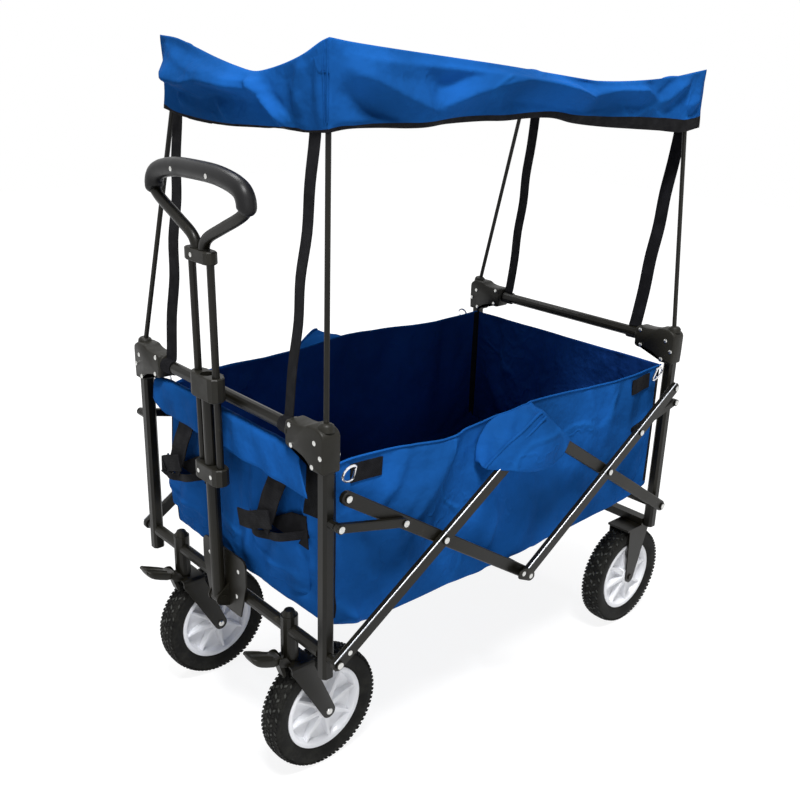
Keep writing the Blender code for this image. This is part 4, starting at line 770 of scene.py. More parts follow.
def build_canopy():
    """One sheet: a top that hangs between its corners and a creased valance all round."""
    length = CANOPY_REAR_X - CANOPY_FRONT_X
    columns = round(length / CANOPY_CELL)
    rows = round(2 * CANOPY_HALF / CANOPY_CELL)
    drops, tape_and_shade_rings = 21, 3

    def spot(i, j):
        u, v = i / columns, j / rows
        return CANOPY_FRONT_X + length * u, CANOPY_HALF - 2 * CANOPY_HALF * v, canopy_top(u, v)

    def skirt(place, word, drop):
        along = place.x if word in ("left", "right") else place.y
        height = smooth_between(CANOPY_EDGE[word], along) - smooth_between(CANOPY_HEM[word], along)
        tape_and_shade = smooth_between(HEM_TAPE_AND_SHADE[word], along) / height
        share = (1 - tape_and_shade) * min(1.0, drop / (drops - tape_and_shade_rings))
        share += tape_and_shade * max(0.0, (drop + tape_and_shade_rings - drops) / tape_and_shade_rings)
        return valance_place(word, along, share), share * VALANCE_HEIGHT

    bm = bmesh.new()
    rings, _, faces = skirted_sheet(bm, columns, rows, spot, skirt, drops, upward=False)
    for face, drop, _ in faces:
        # The last rings of the valance are black: hem tape, and in part painted shade of the hem's inside.
        face.material_index = 2 if drop >= drops - tape_and_shade_rings else 0
    bmesh.ops.recalc_face_normals(bm, faces=bm.faces)
    sharp = bm.edges.layers.float.new("crease_edge")
    corners = (0, rows, rows + columns, 2 * rows + columns)
    for line in [set(rings[0])] + [{ring[k] for ring in rings} for k in corners]:
        for edge in bm.edges:
            if edge.verts[0] in line and edge.verts[1] in line:
                edge[sharp] = 0.8
    held = {vert.index for vert in rings[0] + rings[1] + rings[-1]}
    obj = make_piece("canopy_sheet", bm, (CLOTH, SHADED_LINING, WEBBING, WEBBING), smooth=0)
    settle(obj, held, frames=12, grow=0.012, cap=0.003)
    rest_on_posts(obj)
    subdivide(obj)
    thicken(obj, CLOTH_THICKNESS, inside=1)
    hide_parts("canopy")
    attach(obj, "front_frame")
    squash_canopy(obj)

    bm = bmesh.new()
    for word in ("front", "rear"):
        for shift in (0.003, 0.009):
            seam = [valance_place(word, shift - CANOPY_HALF, 0.03 + share / 14) + OUTWARD[word] * 0.0003
                    for share in range(13)]
            pipe(bm, seam, 0.0007, 6)
    squash_canopy(solid_piece("canopy_seams", bm, (CLOTH,), "front_frame"))


# Height of the bag's rim and of its lower edge, along X
RIM_LINE = ((-0.378, 0.531), (-0.335, 0.535), (-0.141, 0.525), (0.020, 0.536), (0.248, 0.525),
            (0.378, 0.529))
FOOT_LINE = ((-0.378, 0.291), (-0.300, 0.273), (0.000, 0.2675), (0.300, 0.277), (0.378, 0.291))

# Folds of the bag's sides, as routes of (X, Z), and of its ends, as routes of (Y, Z)
NEAR_FOLDS = (
    (((-0.138, 0.530), (-0.180, 0.482), (-0.230, 0.430), (-0.268, 0.385)), 0.021, 0.020, 0.085),
    (((0.004, 0.524), (-0.040, 0.485), (-0.078, 0.447), (-0.105, 0.410)), 0.017, 0.018, 0.046),
    (((0.160, 0.526), (0.180, 0.496), (0.200, 0.462)), 0.007, 0.014, 0.024),
    (((0.232, 0.524), (0.238, 0.490), (0.230, 0.450)), 0.006, 0.030, 0.016),
    (((0.300, 0.522), (0.285, 0.470), (0.292, 0.410)), 0.006, 0.030, 0.030),
    (((-0.368, 0.330), (-0.346, 0.304), (-0.318, 0.280)), 0.018, 0.012, 0.022),
    (((-0.060, 0.400), (-0.052, 0.350), (-0.070, 0.300)), 0.008, 0.012, 0.050),
    (((-0.240, 0.520), (-0.262, 0.480), (-0.300, 0.450)), 0.008, 0.012, 0.030),
    (((-0.330, 0.470), (-0.315, 0.380), (-0.300, 0.300)), 0.007, 0.050, 0.040),
    (((-0.030, 0.400), (-0.060, 0.350), (-0.070, 0.300)), 0.006, 0.060, 0.060),
    (((0.150, 0.430), (0.170, 0.360), (0.165, 0.300)), 0.007, 0.060, 0.050),
    (((0.330, 0.400), (0.322, 0.350), (0.330, 0.310)), 0.008, 0.030, 0.030),
)
FAR_FOLDS = (
    (((-0.300, 0.525), (-0.235, 0.480), (-0.200, 0.430)), 0.010, 0.024, 0.060),
    (((-0.105, 0.528), (-0.150, 0.470), (-0.215, 0.420)), 0.010, 0.030, 0.050),
    (((0.050, 0.526), (0.010, 0.470), (0.020, 0.400)), 0.010, 0.030, 0.045),
    (((0.160, 0.526), (0.120, 0.480), (0.090, 0.420), (0.080, 0.350)), 0.010, 0.024, 0.060),
    (((0.300, 0.525), (0.270, 0.470), (0.290, 0.400)), 0.008, 0.030, 0.040),
)
FRONT_FOLDS = (
    (((-0.060, 0.470), (-0.040, 0.400), (-0.045, 0.320)), 0.006, 0.040, 0.030),
    (((0.150, 0.460), (0.165, 0.400), (0.150, 0.330)), 0.005, 0.025, 0.025),
    (((-0.160, 0.480), (-0.190, 0.440), (-0.204, 0.400), (-0.200, 0.345)), 0.006, 0.010, 0.016),
)
REAR_FOLDS = (
    (((-0.150, 0.525), (-0.090, 0.450), (-0.100, 0.380)), 0.008, 0.030, 0.070),
    (((0.060, 0.525), (0.030, 0.450), (0.050, 0.350)), 0.008, 0.040, 0.060),
    (((0.190, 0.525), (0.160, 0.480), (0.170, 0.400)), 0.006, 0.020, 0.040),
)
FOLDS = {"left": NEAR_FOLDS, "right": FAR_FOLDS, "front": FRONT_FOLDS, "rear": REAR_FOLDS}
# The flap over an apex, on the right side: the edge that it is folded over, and its hem
FLAP_CREST = ((-0.104, 0.2560, 0.4660), (-0.090, 0.2640, 0.4850), (-0.072, 0.2735, 0.5060),
              (-0.050, 0.2790, 0.5210), (-0.026, 0.2810, 0.5370), (-0.012, 0.2810, 0.5405),
              (0.010, 0.2810, 0.5250), (0.034, 0.2805, 0.5050), (0.063, 0.2800, 0.4800))
FLAP_HEM = ((-0.103, 0.2570, 0.4640), (-0.088, 0.2700, 0.4630), (-0.068, 0.2810, 0.4600),
            (-0.028, 0.2865, 0.4500), (0.010, 0.2865, 0.4480), (0.042, 0.2845, 0.4580),
            (0.057, 0.2820, 0.4710), (0.064, 0.2800, 0.4790))
# The furthest that a wall's folds stand out
WALL_REACH = {"left": 0.0220, "right": 0.0220, "front": 0.010, "rear": 0.010}


def far_corner(x):
    """How far the right wall stands in near the front, where it hangs free of the leg."""
    shares = ((-0.378, 0.0), (-0.330, 0.25), (-0.240, 0.85), (-0.180, 1.0))
    return FAR_CORNER_IN * (1 - smooth_between(shares, x))


def bag_wall(foot, word, share):
    """A place on a wall of the bag, a share of the way from its foot to the rim."""
    along = foot.x if word in ("left", "right") else foot.y
    to_corner = BAG_END - abs(foot.x) if word in ("left", "right") else BAG_SIDE - abs(foot.y)
    rim = smooth_between(RIM_LINE, foot.x)
    z = foot.z + (rim - foot.z) * share
    depth = ridge_depth(FOLDS[word], along, z) + 0.006 * math.sin(math.pi * share)
    depth = min(depth, WALL_REACH[word]) * min(1.0, to_corner / 0.045)
    return Vector((foot.x, foot.y, z)) + OUTWARD[word] * depth


def bag_floor(x, y):
    """Height of the floor, which rests on the cross tube and hangs a little beside it."""
    sag = 0.005 * math.sin(math.pi * min(1.0, abs(x) / BAG_END)) * (1 - (y / BAG_SIDE) ** 2)
    return smooth_between(FOOT_LINE, x) - sag


def build_bag():
    """One skin for floor and walls.  Its front and rear walls then become their own pieces."""
    columns = round(2 * BAG_END / BAG_CELL)
    rows = round(2 * BAG_SIDE / BAG_CELL)
    drops = 30

    def spot(i, j):
        x = -BAG_END + 2 * BAG_END * i / columns
        y = -BAG_SIDE + (2 * BAG_SIDE - far_corner(x)) * (1 - j / rows)
        return x, y, bag_floor(x, y)

    def skirt(place, word, drop):
        return bag_wall(place, word, drop / drops), drop / drops * WALL_HEIGHT

    bm = bmesh.new()
    rings, words, faces = skirted_sheet(bm, columns, rows, spot, skirt, drops, upward=True)
    region = {"left": 0, "right": 0, "front": 1, "rear": 2}
    for face, _, k in faces:
        face.material_index = region[words[k]]
    bm.normal_update()
    held = {vert.index for vert in rings[-1] + rings[-2]}
    for vert in bm.verts:
        x, y, z = vert.co
        at_end = abs(x) > BAG_END - CORNER_MARGIN
        at_side = y < -BAG_SIDE + CORNER_MARGIN or y > BAG_SIDE - far_corner(x) - CORNER_MARGIN
        under_tab = z > 0.486 and (-0.352 < x < -0.278 or 0.276 < x < 0.350)
        if vert.index < (columns + 1) * (rows + 1):
            holds = abs(x) < 0.012 or abs(x) > BAG_END - 0.012
        else:
            holds = at_end == at_side or under_tab
        if holds:
            held.add(vert.index)
    skin = make_piece("bag_skin", bm, (CLOTH, CLOTH, CLOTH), smooth=0)
    settle(skin, held, frames=20, grow=0.018, cap=0.006)
    for vert in skin.data.vertices:
        vert.co.y = min(max(vert.co.y, -LINKS_INSIDE), LINKS_INSIDE)
        if abs(vert.co.x) < 0.060:
            vert.co.z = max(vert.co.z, CROSS_TUBE_TOP)
    subdivide(skin)
    apply_modifiers(skin)

    made = {}
    for index, name in enumerate(("bag_sides_and_floor", "bag_front_wall", "bag_rear_wall")):
        bm = bmesh.new()
        bm.from_mesh(skin.data)
        bmesh.ops.delete(bm, geom=[f for f in bm.faces if f.material_index != index], context="FACES")
        for face in bm.faces:
            x, y, z = face.calc_center_median()
            beside_leg = index == 0 and abs(x) > BAG_END - 0.014 and z > 0.300
            under_band = index == 1 and y < -0.182 and z > 0.449
            at_corner = index and (abs(y) > BAG_SIDE - 0.006 or y > BAG_SIDE - far_corner(x) - 0.006)
            face.material_index = 2 if beside_leg or under_band or at_corner else 0
        wall = make_piece(name, bm, (CLOTH, SHADED_LINING, WEBBING, WEBBING), smooth=0)
        thicken(wall, WALL_THICKNESS, inside=1)
        made[name] = wall
    bpy.data.objects.remove(skin, do_unlink=True)

    sides = made["bag_sides_and_floor"]
    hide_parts("bag_body")
    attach(sides, "front_frame")
    squash_bag(sides)
    for name, node, body in (("bag_front_wall", "bag_front_panel", "front_frame"),
                             ("bag_rear_wall", "bag_rear_panel", "rear_frame")):
        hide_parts(node)
        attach(made[name], body)


def soft_trim(name, bm, materials, fold=True, smooth=40):
    """A trim piece of the bag's sides or of its front wall, on the front frame."""
    obj = solid_piece(name, bm, materials, "front_frame", smooth=smooth)
    if fold:
        squash_bag(obj)
    return obj


def wall_place(x, side, share):
    """A place just outside a side wall of the bag, a share of the way from its foot to its rim."""
    out = BAG_SIDE - far_corner(x) if side > 0 else BAG_SIDE
    foot = Vector((x, side * out, smooth_between(FOOT_LINE, x)))
    return bag_wall(foot, "left" if side < 0 else "right", share) + Vector((0, side * 0.0008, 0))


def build_flaps():
    """The cloth that folds out over each apex of the links, and the rim's piping."""
    for side, word in SIDES:
        crest = curve_through([(x, side * y, z) for x, y, z in FLAP_CREST])
        hem = curve_through([(x, side * y, z) for x, y, z in FLAP_HEM])
        back = curve_through([wall_place(x, side, share) for x, share in
                              ((-0.106, 0.78), (-0.100, 0.87), (-0.086, 0.95), (-0.062, 1.0),
                               (-0.020, 1.0), (0.022, 1.0))])

        def leaf(u, v):
            spot = at_share(crest, u).lerp(at_share(hem, u), v)
            belly = 0.0060 * math.sin(math.pi * v) * math.sin(math.pi * u)
            belly += 0.0035 * math.sin(10 * u + 3 * v) * math.sin(math.pi * v) * math.sin(math.pi * u)
            return spot + Vector((0, side * belly, 0))

        def shoulder(u, v):
            spot = at_share(back, u).lerp(at_share(crest, 0.70 * u), v)
            dip = 0.006 * math.sin(math.pi * v) * math.sin(math.pi * min(1.0, u * 1.15))
            fold = 0.0035 * math.sin(17 * u + 5 * v) * math.sin(math.pi * v)
            return spot + Vector((0, 0, fold - dip))

        bm = bmesh.new()
        patch(bm, 48, 18, leaf, lambda u, v: (u * 0.20, v * 0.08))
        patch(bm, 36, 14, shoulder, lambda u, v: (u * 0.19, v * 0.05 + 0.1))
        flap = soft_trim(f"{word}_apex_flap", bm, (CLOTH, CLOTH), fold=False, smooth=0)
        thicken(flap, TRIM_THICKNESS, 0.0)
        squash_bag(flap)

        bm = bmesh.new()
        pipe(bm, [wall_place(-0.376 + 0.752 * k / 80, side, 1.0) for k in range(81)], 0.0017, 8)
        pipe(bm, crest[:31], 0.0026, 10)
        second = [spot + Vector((0.0125, side * 0.0035, -0.0070)) for spot in crest[3:28]]
        pipe(bm, second, 0.0022, 10)
        soft_trim(f"{word}_rim_piping", bm, (CLOTH,))


def build_front_trim():
    """The folded band of the front wall, its two pockets and the black pieces on them."""
    profile = curve_through([(-0.3786, 0, 0.532), (-0.3800, 0, 0.5405), (-0.3850, 0, 0.5462),
                             (-0.3915, 0, 0.5470), (-0.3962, 0, 0.5425), (-0.3984, 0, 0.532),
                             (-0.3990, 0, 0.514), (-0.3986, 0, 0.4915)], 4)

    def band(u, v):
        spot = at_share(profile, v).copy()
        near_end = -0.178 - 0.034 * v
        far_end = 0.205 - 0.004 * v
        y = far_end + (near_end - far_end) * u
        far = max(0.0, (y - 0.165) / 0.040)
        spot.z -= 0.014 * far * (1 - v) - 0.020 * far * v
        spot.z += 0.002 * math.sin(6 * u) * v - 0.004 * max(0.0, u - 0.85) / 0.15 * v
        ripple = 0.0018 * math.sin(23 * u + 4 * v) + 0.0014 * math.sin(41 * u - 3 * v)
        spot.x += ripple * v * min(1.0, 6 * (1 - u)) + 0.004 * far * (1 - v)
        return Vector((spot.x, y, spot.z))

    bm = bmesh.new()
    patch(bm, 90, 20, band, lambda u, v: (u * 0.404, v * 0.085))
    cloth = soft_trim("front_band", bm, (CLOTH, CLOTH), fold=False, smooth=0)
    thicken(cloth, TRIM_THICKNESS, 0.0)

    def mouth(u):
        return 0.402 + 0.020 * max(0.0, -u) ** 2 + 0.006 * u * u - 0.006 * math.sin(3 * u)

    for middle, tab_end, name in ((-0.124, 0.072, "left"), (0.124, 0.018, "right")):
        def pouch(u, v):
            width = POCKET_HALF * (0.90 + 0.10 * v)
            z = POCKET_FOOT + (mouth(u) - POCKET_FOOT) * v
            depth = 0.0265 * (1 - u * u) ** 0.75 * (0.35 + 0.65 * v)
            crease = 0.0035 * math.sin(7 * u + 5 * v)
            crease += 0.0045 * math.exp(-((v - 0.38 - 0.2 * u) / 0.06) ** 2)
            return Vector((-0.3792 - depth - crease * (1 - u * u), middle + width * u, z))

        bm = bmesh.new()
        patch(bm, 40, 22, lambda u, v: pouch(2 * u - 1, v), lambda u, v: (u * 0.17, v * 0.085))
        cup = soft_trim(f"{name}_cup_pocket", bm, (CLOTH, SHADED_LINING), fold=False, smooth=0)
        thicken(cup, TRIM_THICKNESS, 0.0, inside=1)

        bm = bmesh.new()
        lip = [pouch(-1 + 2 * k / 30, 1.0) + Vector((-0.0008, 0, -0.004)) for k in range(31)]
        ribbon(bm, lip, (0, 0, 1), 0.012, 0.0016)
        strap = [(-0.3925, middle - 0.016, 0.502), (-0.3940, middle - 0.010, 0.482),
                 (-0.3985, middle - 0.002, 0.457), (-0.4015, middle + 0.006, 0.430),
                 (-0.4062, middle + 0.012, 0.408)]
        ribbon(bm, curve_through(strap, 5), (0, 1, -0.15), 0.040, 0.0016)
        tab = [(-0.4075, middle - 0.012, 0.428), (-0.4085, middle + 0.012, 0.420),
               (-0.4080, middle + 0.040, 0.408), (-0.4050, middle + tab_end, 0.400)]
        ribbon(bm, curve_through(tab, 5), (0, 0.25, 1), 0.027, 0.0018)
        corners = ((0.026, 0.4085), (-0.030, 0.440), (-0.066, 0.4475), (-0.079, 0.404))
        wedge = [bm.verts.new((-0.3850 - 0.006 * (k in (0, 3)), middle + y, z))
                 for k, (y, z) in enumerate(corners)]
        wedge += [bm.verts.new(vert.co + Vector((0.0015, 0, 0))) for vert in wedge]
        skin_rings(bm, wedge[:4], wedge[4:])
        bm.faces.new(wedge[:4])
        bm.faces.new(list(reversed(wedge[4:])))
        soft_trim(f"{name}_pocket_webbing", bm, (WEBBING,), fold=False)


def build_corner_tabs():
    """Black tabs of the side walls, and the rings that hang them from the links."""
    for side, word in SIDES:
        bm = bmesh.new()
        for start, end in TAB_SPANS:
            route = [wall_place(start + (end - start) * k / 6, side, 0.92) for k in range(7)]
            route = [place + Vector((0, side * 0.0012, 0)) for place in route]
            ribbon(bm, route, (0, 0, 1), 0.027, 0.0020)
        soft_trim(f"{word}_side_webbing", bm, (WEBBING,))

        bm = bmesh.new()
        for x, turn in ((-0.352, 1), (0.345, -1)):
            ring = []
            for step in range(25):
                angle = 2 * math.pi * step / 24
                flat_side = max(-0.55, math.cos(angle))
                ring.append((x - turn * RING_HALF * flat_side, side * (RING_Y + 0.0040 * math.sin(angle)),
                             RING_Z + RING_HALF * math.sin(angle)))
            pipe(bm, ring, 0.0017, 8)
        soft_trim(f"{word}_rings", bm, (CHROME,))


def build_straps():
    """Webbing from a loop round each top rail up to the inside of the canopy."""
    for sign, end in ENDS:
        edge = CANOPY_FRONT_X if end == "front" else CANOPY_REAR_X
        for side, word in SIDES:
            foot_y, top_y = side * STRAP_FOOT_Y, side * STRAP_TOP_Y
            hem = smooth_between(CANOPY_HEM[end], top_y)
            inside = edge - sign * STRAP_GAP
            rail = sign * LEG_X
            lean = (inside - rail) / (hem - RAIL_Z)
            route = []
            for k in range(9):
                angle = math.radians(250 - 250 * k / 8)
                x = rail + STRAP_WRAP * math.sin(angle) * sign
                route.append((x, foot_y, RAIL_Z + STRAP_WRAP * math.cos(angle)))
            waves = (0.0, 0.0016, -0.0012, 0.0022, -0.0016, 0.0010, 0.0)
            for k, wave in enumerate(waves):
                share = k / (len(waves) - 1)
                z = RAIL_Z + 0.022 + (hem - RAIL_Z - 0.026) * share
                x = rail + (z - RAIL_Z) * lean + wave * sign
                route.append((x, foot_y + (top_y - foot_y) * share, z))
            route.append((inside, top_y, hem + 0.034))
            route = curve_through(route, 4)
            turn = 0.16 * side * sign
            across = [(turn * math.sin(math.pi * k / len(route)), 1, 0) for k in range(len(route))]
            bm = bmesh.new()
            ribbon(bm, route, across, 0.0235, 0.0017)
            strap = solid_piece(f"{end}_{word}_strap", bm, (WEBBING,), f"{end}_frame")
            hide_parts(f"{end}_{word}_canopy_strap")


def tyre_mesh():
    """A tyre turned about Y with rows of small knobs."""
    bm = bmesh.new()
    profile = [(0.0684, -0.0142), (0.0745, -0.0168), (0.0820, -0.0187), (0.0880, -0.0187),
               (0.0925, -0.0172), (0.0950, -0.0140), (0.0960, -0.0070), (0.0962, 0.0)]
    profile += [(radius, -y) for radius, y in reversed(profile[:-1])]
    lathe(bm, profile, (0, 0, 0), (0, 1, 0), 72, closed=True)
    # Rows of knobs: place across the tyre, radius at the foot and at the top, and width
    rows = ((-0.0166, 0.0925, 0.0943, 0.0052), (-0.0102, 0.0948, 0.0966, 0.0058),
            (-0.0034, 0.0955, 0.0974, 0.0060), (0.0034, 0.0955, 0.0974, 0.0060),
            (0.0102, 0.0948, 0.0966, 0.0058), (0.0166, 0.0925, 0.0943, 0.0052))
    count = 76
    for index, (y, low, high, width) in enumerate(rows):
        for knob in range(count):
            middle = 2 * math.pi * (knob + 0.5 * (index % 2)) / count
            half = math.pi / count * (0.68 + 0.10 * math.sin(knob * 2.4 + index))
            corners = []
            tilt = 0.55 * half * (1 if index % 2 else -1)
            for radius, narrow in ((low, 1.0), (high, 0.78)):
                for turn, shift in ((-1, -1), (1, -1), (1, 1), (-1, 1)):
                    angle = middle + turn * half * narrow + shift * tilt
                    x, z = radius * math.cos(angle), radius * math.sin(angle)
                    corners.append(bm.verts.new((x, y + shift * width / 2 * narrow, z)))
            skin_rings(bm, corners[:4], corners[4:])
            bm.faces.new(list(reversed(corners[:4])))
            bm.faces.new(corners[4:]).material_index = (knob * 7 + index * 4) % 5 < 2
    return bm


def rim_mesh():
    """A moulded rim turned about Y: hub, dished web, tapered ribs on both faces and a rounded lip."""
    bm = bmesh.new()
    profile = [(0.0046, -0.0196), (0.0120, -0.0196), (0.0150, -0.0180), (0.0165, -0.0090),
               (0.0200, -0.0040), (0.0480, -0.0032), (0.0560, -0.0050), (0.0590, -0.0130),
               (0.0610, -0.0152), (0.0650, -0.0160), (0.0676, -0.0150), (0.0681, -0.0100), (0.0681, 0.0)]
    # Along a rib: distance from the axle, half of the width, and height
    rib = ((0.0140, 0.0062, 0.0172), (0.0300, 0.0050, 0.0150), (0.0480, 0.0036, 0.0128),
           (0.0600, 0.0030, 0.0138))
    profile += [(radius, -y) for radius, y in reversed(profile[:-1])]
    lathe(bm, profile, (0, 0, 0), (0, 1, 0), 64, closed=True)
    for spoke in range(8):
        angle = 2 * math.pi * spoke / 8 + 0.2
        along = Vector((math.cos(angle), 0, math.sin(angle)))
        across = Vector((-math.sin(angle), 0, math.cos(angle)))
        for side in (-1, 1):
            rings = []
            for radius, half, high in rib:
                ring = []
                for wide, lift in ((-1.25, 0.0025), (-0.75, high - 0.0012), (0, high),
                                   (0.75, high - 0.0012), (1.25, 0.0025)):
                    place = along * radius + across * half * wide + Vector((0, side * lift, 0))
                    ring.append(bm.verts.new(place))
                rings.append(ring)
            loft(bm, rings)
    return bm


def build_wheels():
    """Four wheels alike, each a tyre on a rim."""
    tyre = solid_piece("tyre_pattern", tyre_mesh(), (RUBBER, DUSTY_RUBBER), smooth=35)
    rim = solid_piece("rim_pattern", rim_mesh(), (WHITE,), smooth=35)
    for end in ("front", "rear"):
        for word in ("left", "right"):
            low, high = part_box(f"{end}_{word}_rim")
            middle = (low + high) / 2
            for pattern, kind, slot in ((tyre, "tyre", "tyre_rubber"), (rim, "rim", "white_plastic")):
                piece = bpy.data.objects.new(f"{end}_{word}_{kind}_detailed", pattern.data)
                bpy.context.scene.collection.objects.link(piece)
                piece.location = middle
                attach(piece, f"{end}_{word}_wheel")
                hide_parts(f"{end}_{word}_{kind}")
    bpy.data.objects.remove(tyre)
    bpy.data.objects.remove(rim)


def handle_spot(x, y, z):
    """A place in the handle's own axes: from its pivot, along the leaning tube."""
    return Vector((HANDLE_X + x * math.cos(HANDLE_LEAN) - z * math.sin(HANDLE_LEAN), y,
                   HANDLE_Z + x * math.sin(HANDLE_LEAN) + z * math.cos(HANDLE_LEAN)))


def build_handle_grip():
    """The bent loop of the handle and the moulded grip round its upper part."""
    foot = LOOP_NECK / LOOP_HALF
    spots = ((foot, 0), (foot * 1.05, 0.13), (0.20, 0.25), (0.51, 0.41), (0.90, 0.61), (1, 0.74),
             (0.90, 0.92), (0.51, 1.02), (0, 1.04))
    half = [handle_spot(0, LOOP_HALF * y, LOOP_FOOT + LOOP_HIGH * z) for y, z in spots]
    route = half + [Vector((spot.x, -spot.y, spot.z)) for spot in reversed(half[:-1])]
    route = curve_through(route, 8)
    bm = bmesh.new()
    pipe(bm, route, LOOP_RADIUS, 16)
    loop = solid_piece("handle_loop_tube", bm, (STEEL,), "handle_upper")
    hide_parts("handle_loop")

    middle = len(route) // 2
    part = route[middle - 28:middle + 29]
    radii = []
    for index in range(len(part)):
        to_end = min(index, len(part) - 1 - index)
        radii.append(GRIP_RADIUS - 0.0040 * max(0.0, 1 - to_end / 3.0) ** 2)
    bm = bmesh.new()
    pipe(bm, part, radii, 24, across=(1, 0, 0))
    grip = solid_piece("handle_grip_moulded", bm, (GRIP,), "handle_upper")
    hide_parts("handle_grip")


def moulding(bm, outline, place, depth, edge=0.0030):
    """A solid from an outline, with rounded edges.  place puts (a, b, height) in the part."""
    rings = []
    for height, inset in ((-depth, edge), (-depth + edge * 0.3, edge * 0.3), (-depth + edge, 0.0),
                          (depth - edge, 0.0), (depth - edge * 0.3, edge * 0.3), (depth, edge)):
        ring = []
        count = len(outline)
        for index, spot in enumerate(outline):
            before, after = Vector(outline[index - 1]), Vector(outline[(index + 1) % count])
            ahead = (after - before).normalized()
            inner = Vector(spot) + Vector((-ahead.y, ahead.x)) * inset
            ring.append(bm.verts.new(place(inner.x, inner.y, height)))
        rings.append(ring)
    loft(bm, rings)


def rounded(corners, steps=4):
    """A closed outline, counterclockwise, from corners of (a, b, radius)."""
    outline = []
    count = len(corners)
    for index, (a, b, radius) in enumerate(corners):
        corner = Vector((a, b))
        before = Vector(corners[index - 1][:2]) - corner
        after = Vector(corners[(index + 1) % count][:2]) - corner
        reach = min(radius, before.length * 0.48, after.length * 0.48)
        start, end = corner + before.normalized() * reach, corner + after.normalized() * reach
        for step in range(steps + 1):
            t = step / steps
            outline.append(start * (1 - t) ** 2 + corner * 2 * t * (1 - t) + end * t * t)
    return outline


def build_brackets():
    """The moulded corner brackets: an arm round the rail, a block round the leg, a post socket."""
    outline = rounded([(0.1690, 0.5530, 0.005), (0.1760, 0.5495, 0.005), (0.1920, 0.5500, 0.006),
                       (0.2120, 0.5450, 0.014), (0.2235, 0.5360, 0.008), (0.2245, 0.5335, 0.002),
                       (0.2510, 0.5335, 0.003), (0.2518, 0.5560, 0.006), (0.2518, 0.5880, 0.009),
                       (0.2400, 0.5945, 0.004), (0.2180, 0.5945, 0.004), (0.2100, 0.5900, 0.008),
                       (0.1950, 0.5880, 0.008), (0.1690, 0.5885, 0.007)])
    for sign, end in ENDS:
        for side, word in SIDES:
            bm = bmesh.new()
            moulding(bm, outline, lambda a, b, height: (sign * LEG_X + height, side * a, b), BRACKET_HALF)
            lathe(bm, [(0, -0.0008), (0.0145, -0.0008), (0.0158, 0.0006), (0.0158, 0.0040), (0, 0.0040)],
                  (sign * LEG_X, side * 0.1690, RAIL_Z), (0, side, 0), 28)
            low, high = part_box(f"{end}_{word}_canopy_post")
            foot = Vector((low.x + 0.0040, side * 0.240, 0.5925))
            top = Vector(((low.x + high.x) / 2, (low.y + high.y) / 2, (low.z + high.z) / 2))
            along = (top - foot).normalized()
            lathe(bm, [(0, -0.004), (0.0112, -0.004), (0.0112, 0.0030), (0.0092, 0.0062), (0.0066, 0.0078),
                       (0, 0.0078)], foot, along, 24)
            bracket = solid_piece(f"{end}_{word}_bracket_moulded", bm, (PLASTIC,), f"{end}_frame",
                                  smooth=50)
            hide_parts(f"{end}_{word}_bracket")


def build_forks():
    """Caster forks: a bent top, narrow slanted arms, axle nuts, stem and the brake's ears."""
    stem, axle_x, top = -LEG_X, -LEG_X + CASTER_TRAIL, WHEEL_RADIUS + 0.1060
    shoulder, bend_foot, bend_radius, bend_x = top - 0.012, top - 0.0075, 0.006, stem + 0.0066
    start, end = Vector((stem - 0.0134, shoulder)), Vector((stem + 0.0266, shoulder))
    axle = Vector((axle_x, WHEEL_RADIUS))
    outline = [start, start + Vector((0.0, 0.008)), end + Vector((0.0, 0.008)), end]
    for step in range(13):
        angle = math.radians(28 - 180 * step / 12)
        outline.append(axle + 0.0118 * Vector((math.cos(angle), math.sin(angle))))
    outline.reverse()

    def bolt(x, y, z, radius, reach, steps):
        lathe(bm, [(0, -reach), (radius, -reach), (radius, reach), (0, reach)], (x, y, z), (0, 1, 0), steps)

    for word in ("left", "right"):
        low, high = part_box(f"{word}_caster_fork")
        y, half = (low.y + high.y) / 2, (high.y - low.y) / 2 - PLATE_HALF
        bm = bmesh.new()
        for turn in (-1, 1):
            moulding(bm, outline, lambda a, b, height: (a, y + turn * half + height, b), PLATE_HALF,
                     PLATE_EDGE)
        bend = [(bend_x, y - half, shoulder), (bend_x, y - half, bend_foot)]
        for step in range(1, 6):
            angle = math.radians(90 * step / 6)
            bend.append((bend_x, y - half + bend_radius * (1 - math.cos(angle)),
                         bend_foot + bend_radius * math.sin(angle)))
        bend += [(x, 2 * y - spot_y, z) for x, spot_y, z in reversed(bend)]
        ribbon(bm, bend, (1, 0, 0), 0.0400, 2 * PLATE_HALF)
        lathe(bm, [(0, -0.001), (0.0118, -0.001), (0.0118, 0.0025), (0.0075, 0.0030), (0.0075, 0.0680),
                   (0, 0.0680)], (stem, y, top - 0.0005), (0, 0, 1), 20)
        bolt(axle_x, y, WHEEL_RADIUS, 0.0040, half, 12)
        pivot = Vector((stem - 0.0225, 0.2130))
        ear = rounded([(pivot.x - 0.0066, 0.2075, 0.005), (pivot.x + 0.0080, top - 0.0030, 0.002),
                       (pivot.x + 0.0165, top - 0.0020, 0.002), (pivot.x + 0.0066, 0.2196, 0.006),
                       (pivot.x - 0.0066, 0.2196, 0.006)])
        for turn in (-1, 1):
            moulding(bm, ear, lambda a, b, height: (a, y + turn * 0.0137 + height, b), PLATE_HALF,
                     PLATE_EDGE)
        bolt(pivot.x, y, pivot.y, 0.0022, 0.0152, 10)
        nuts = []
        for turn in (-1, 1):
            nuts.append((Vector((axle_x, y + turn * (half + 0.0012), WHEEL_RADIUS)), Vector((0, turn, 0))))
        fastener_group(f"{word}_fork_nuts", f"{word}_caster", nuts, radius=0.0055, height=0.0034)
        fork = solid_piece(f"{word}_fork_bent", bm, (STEEL,), f"{word}_caster", smooth=35)
        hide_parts(f"{word}_caster_fork")


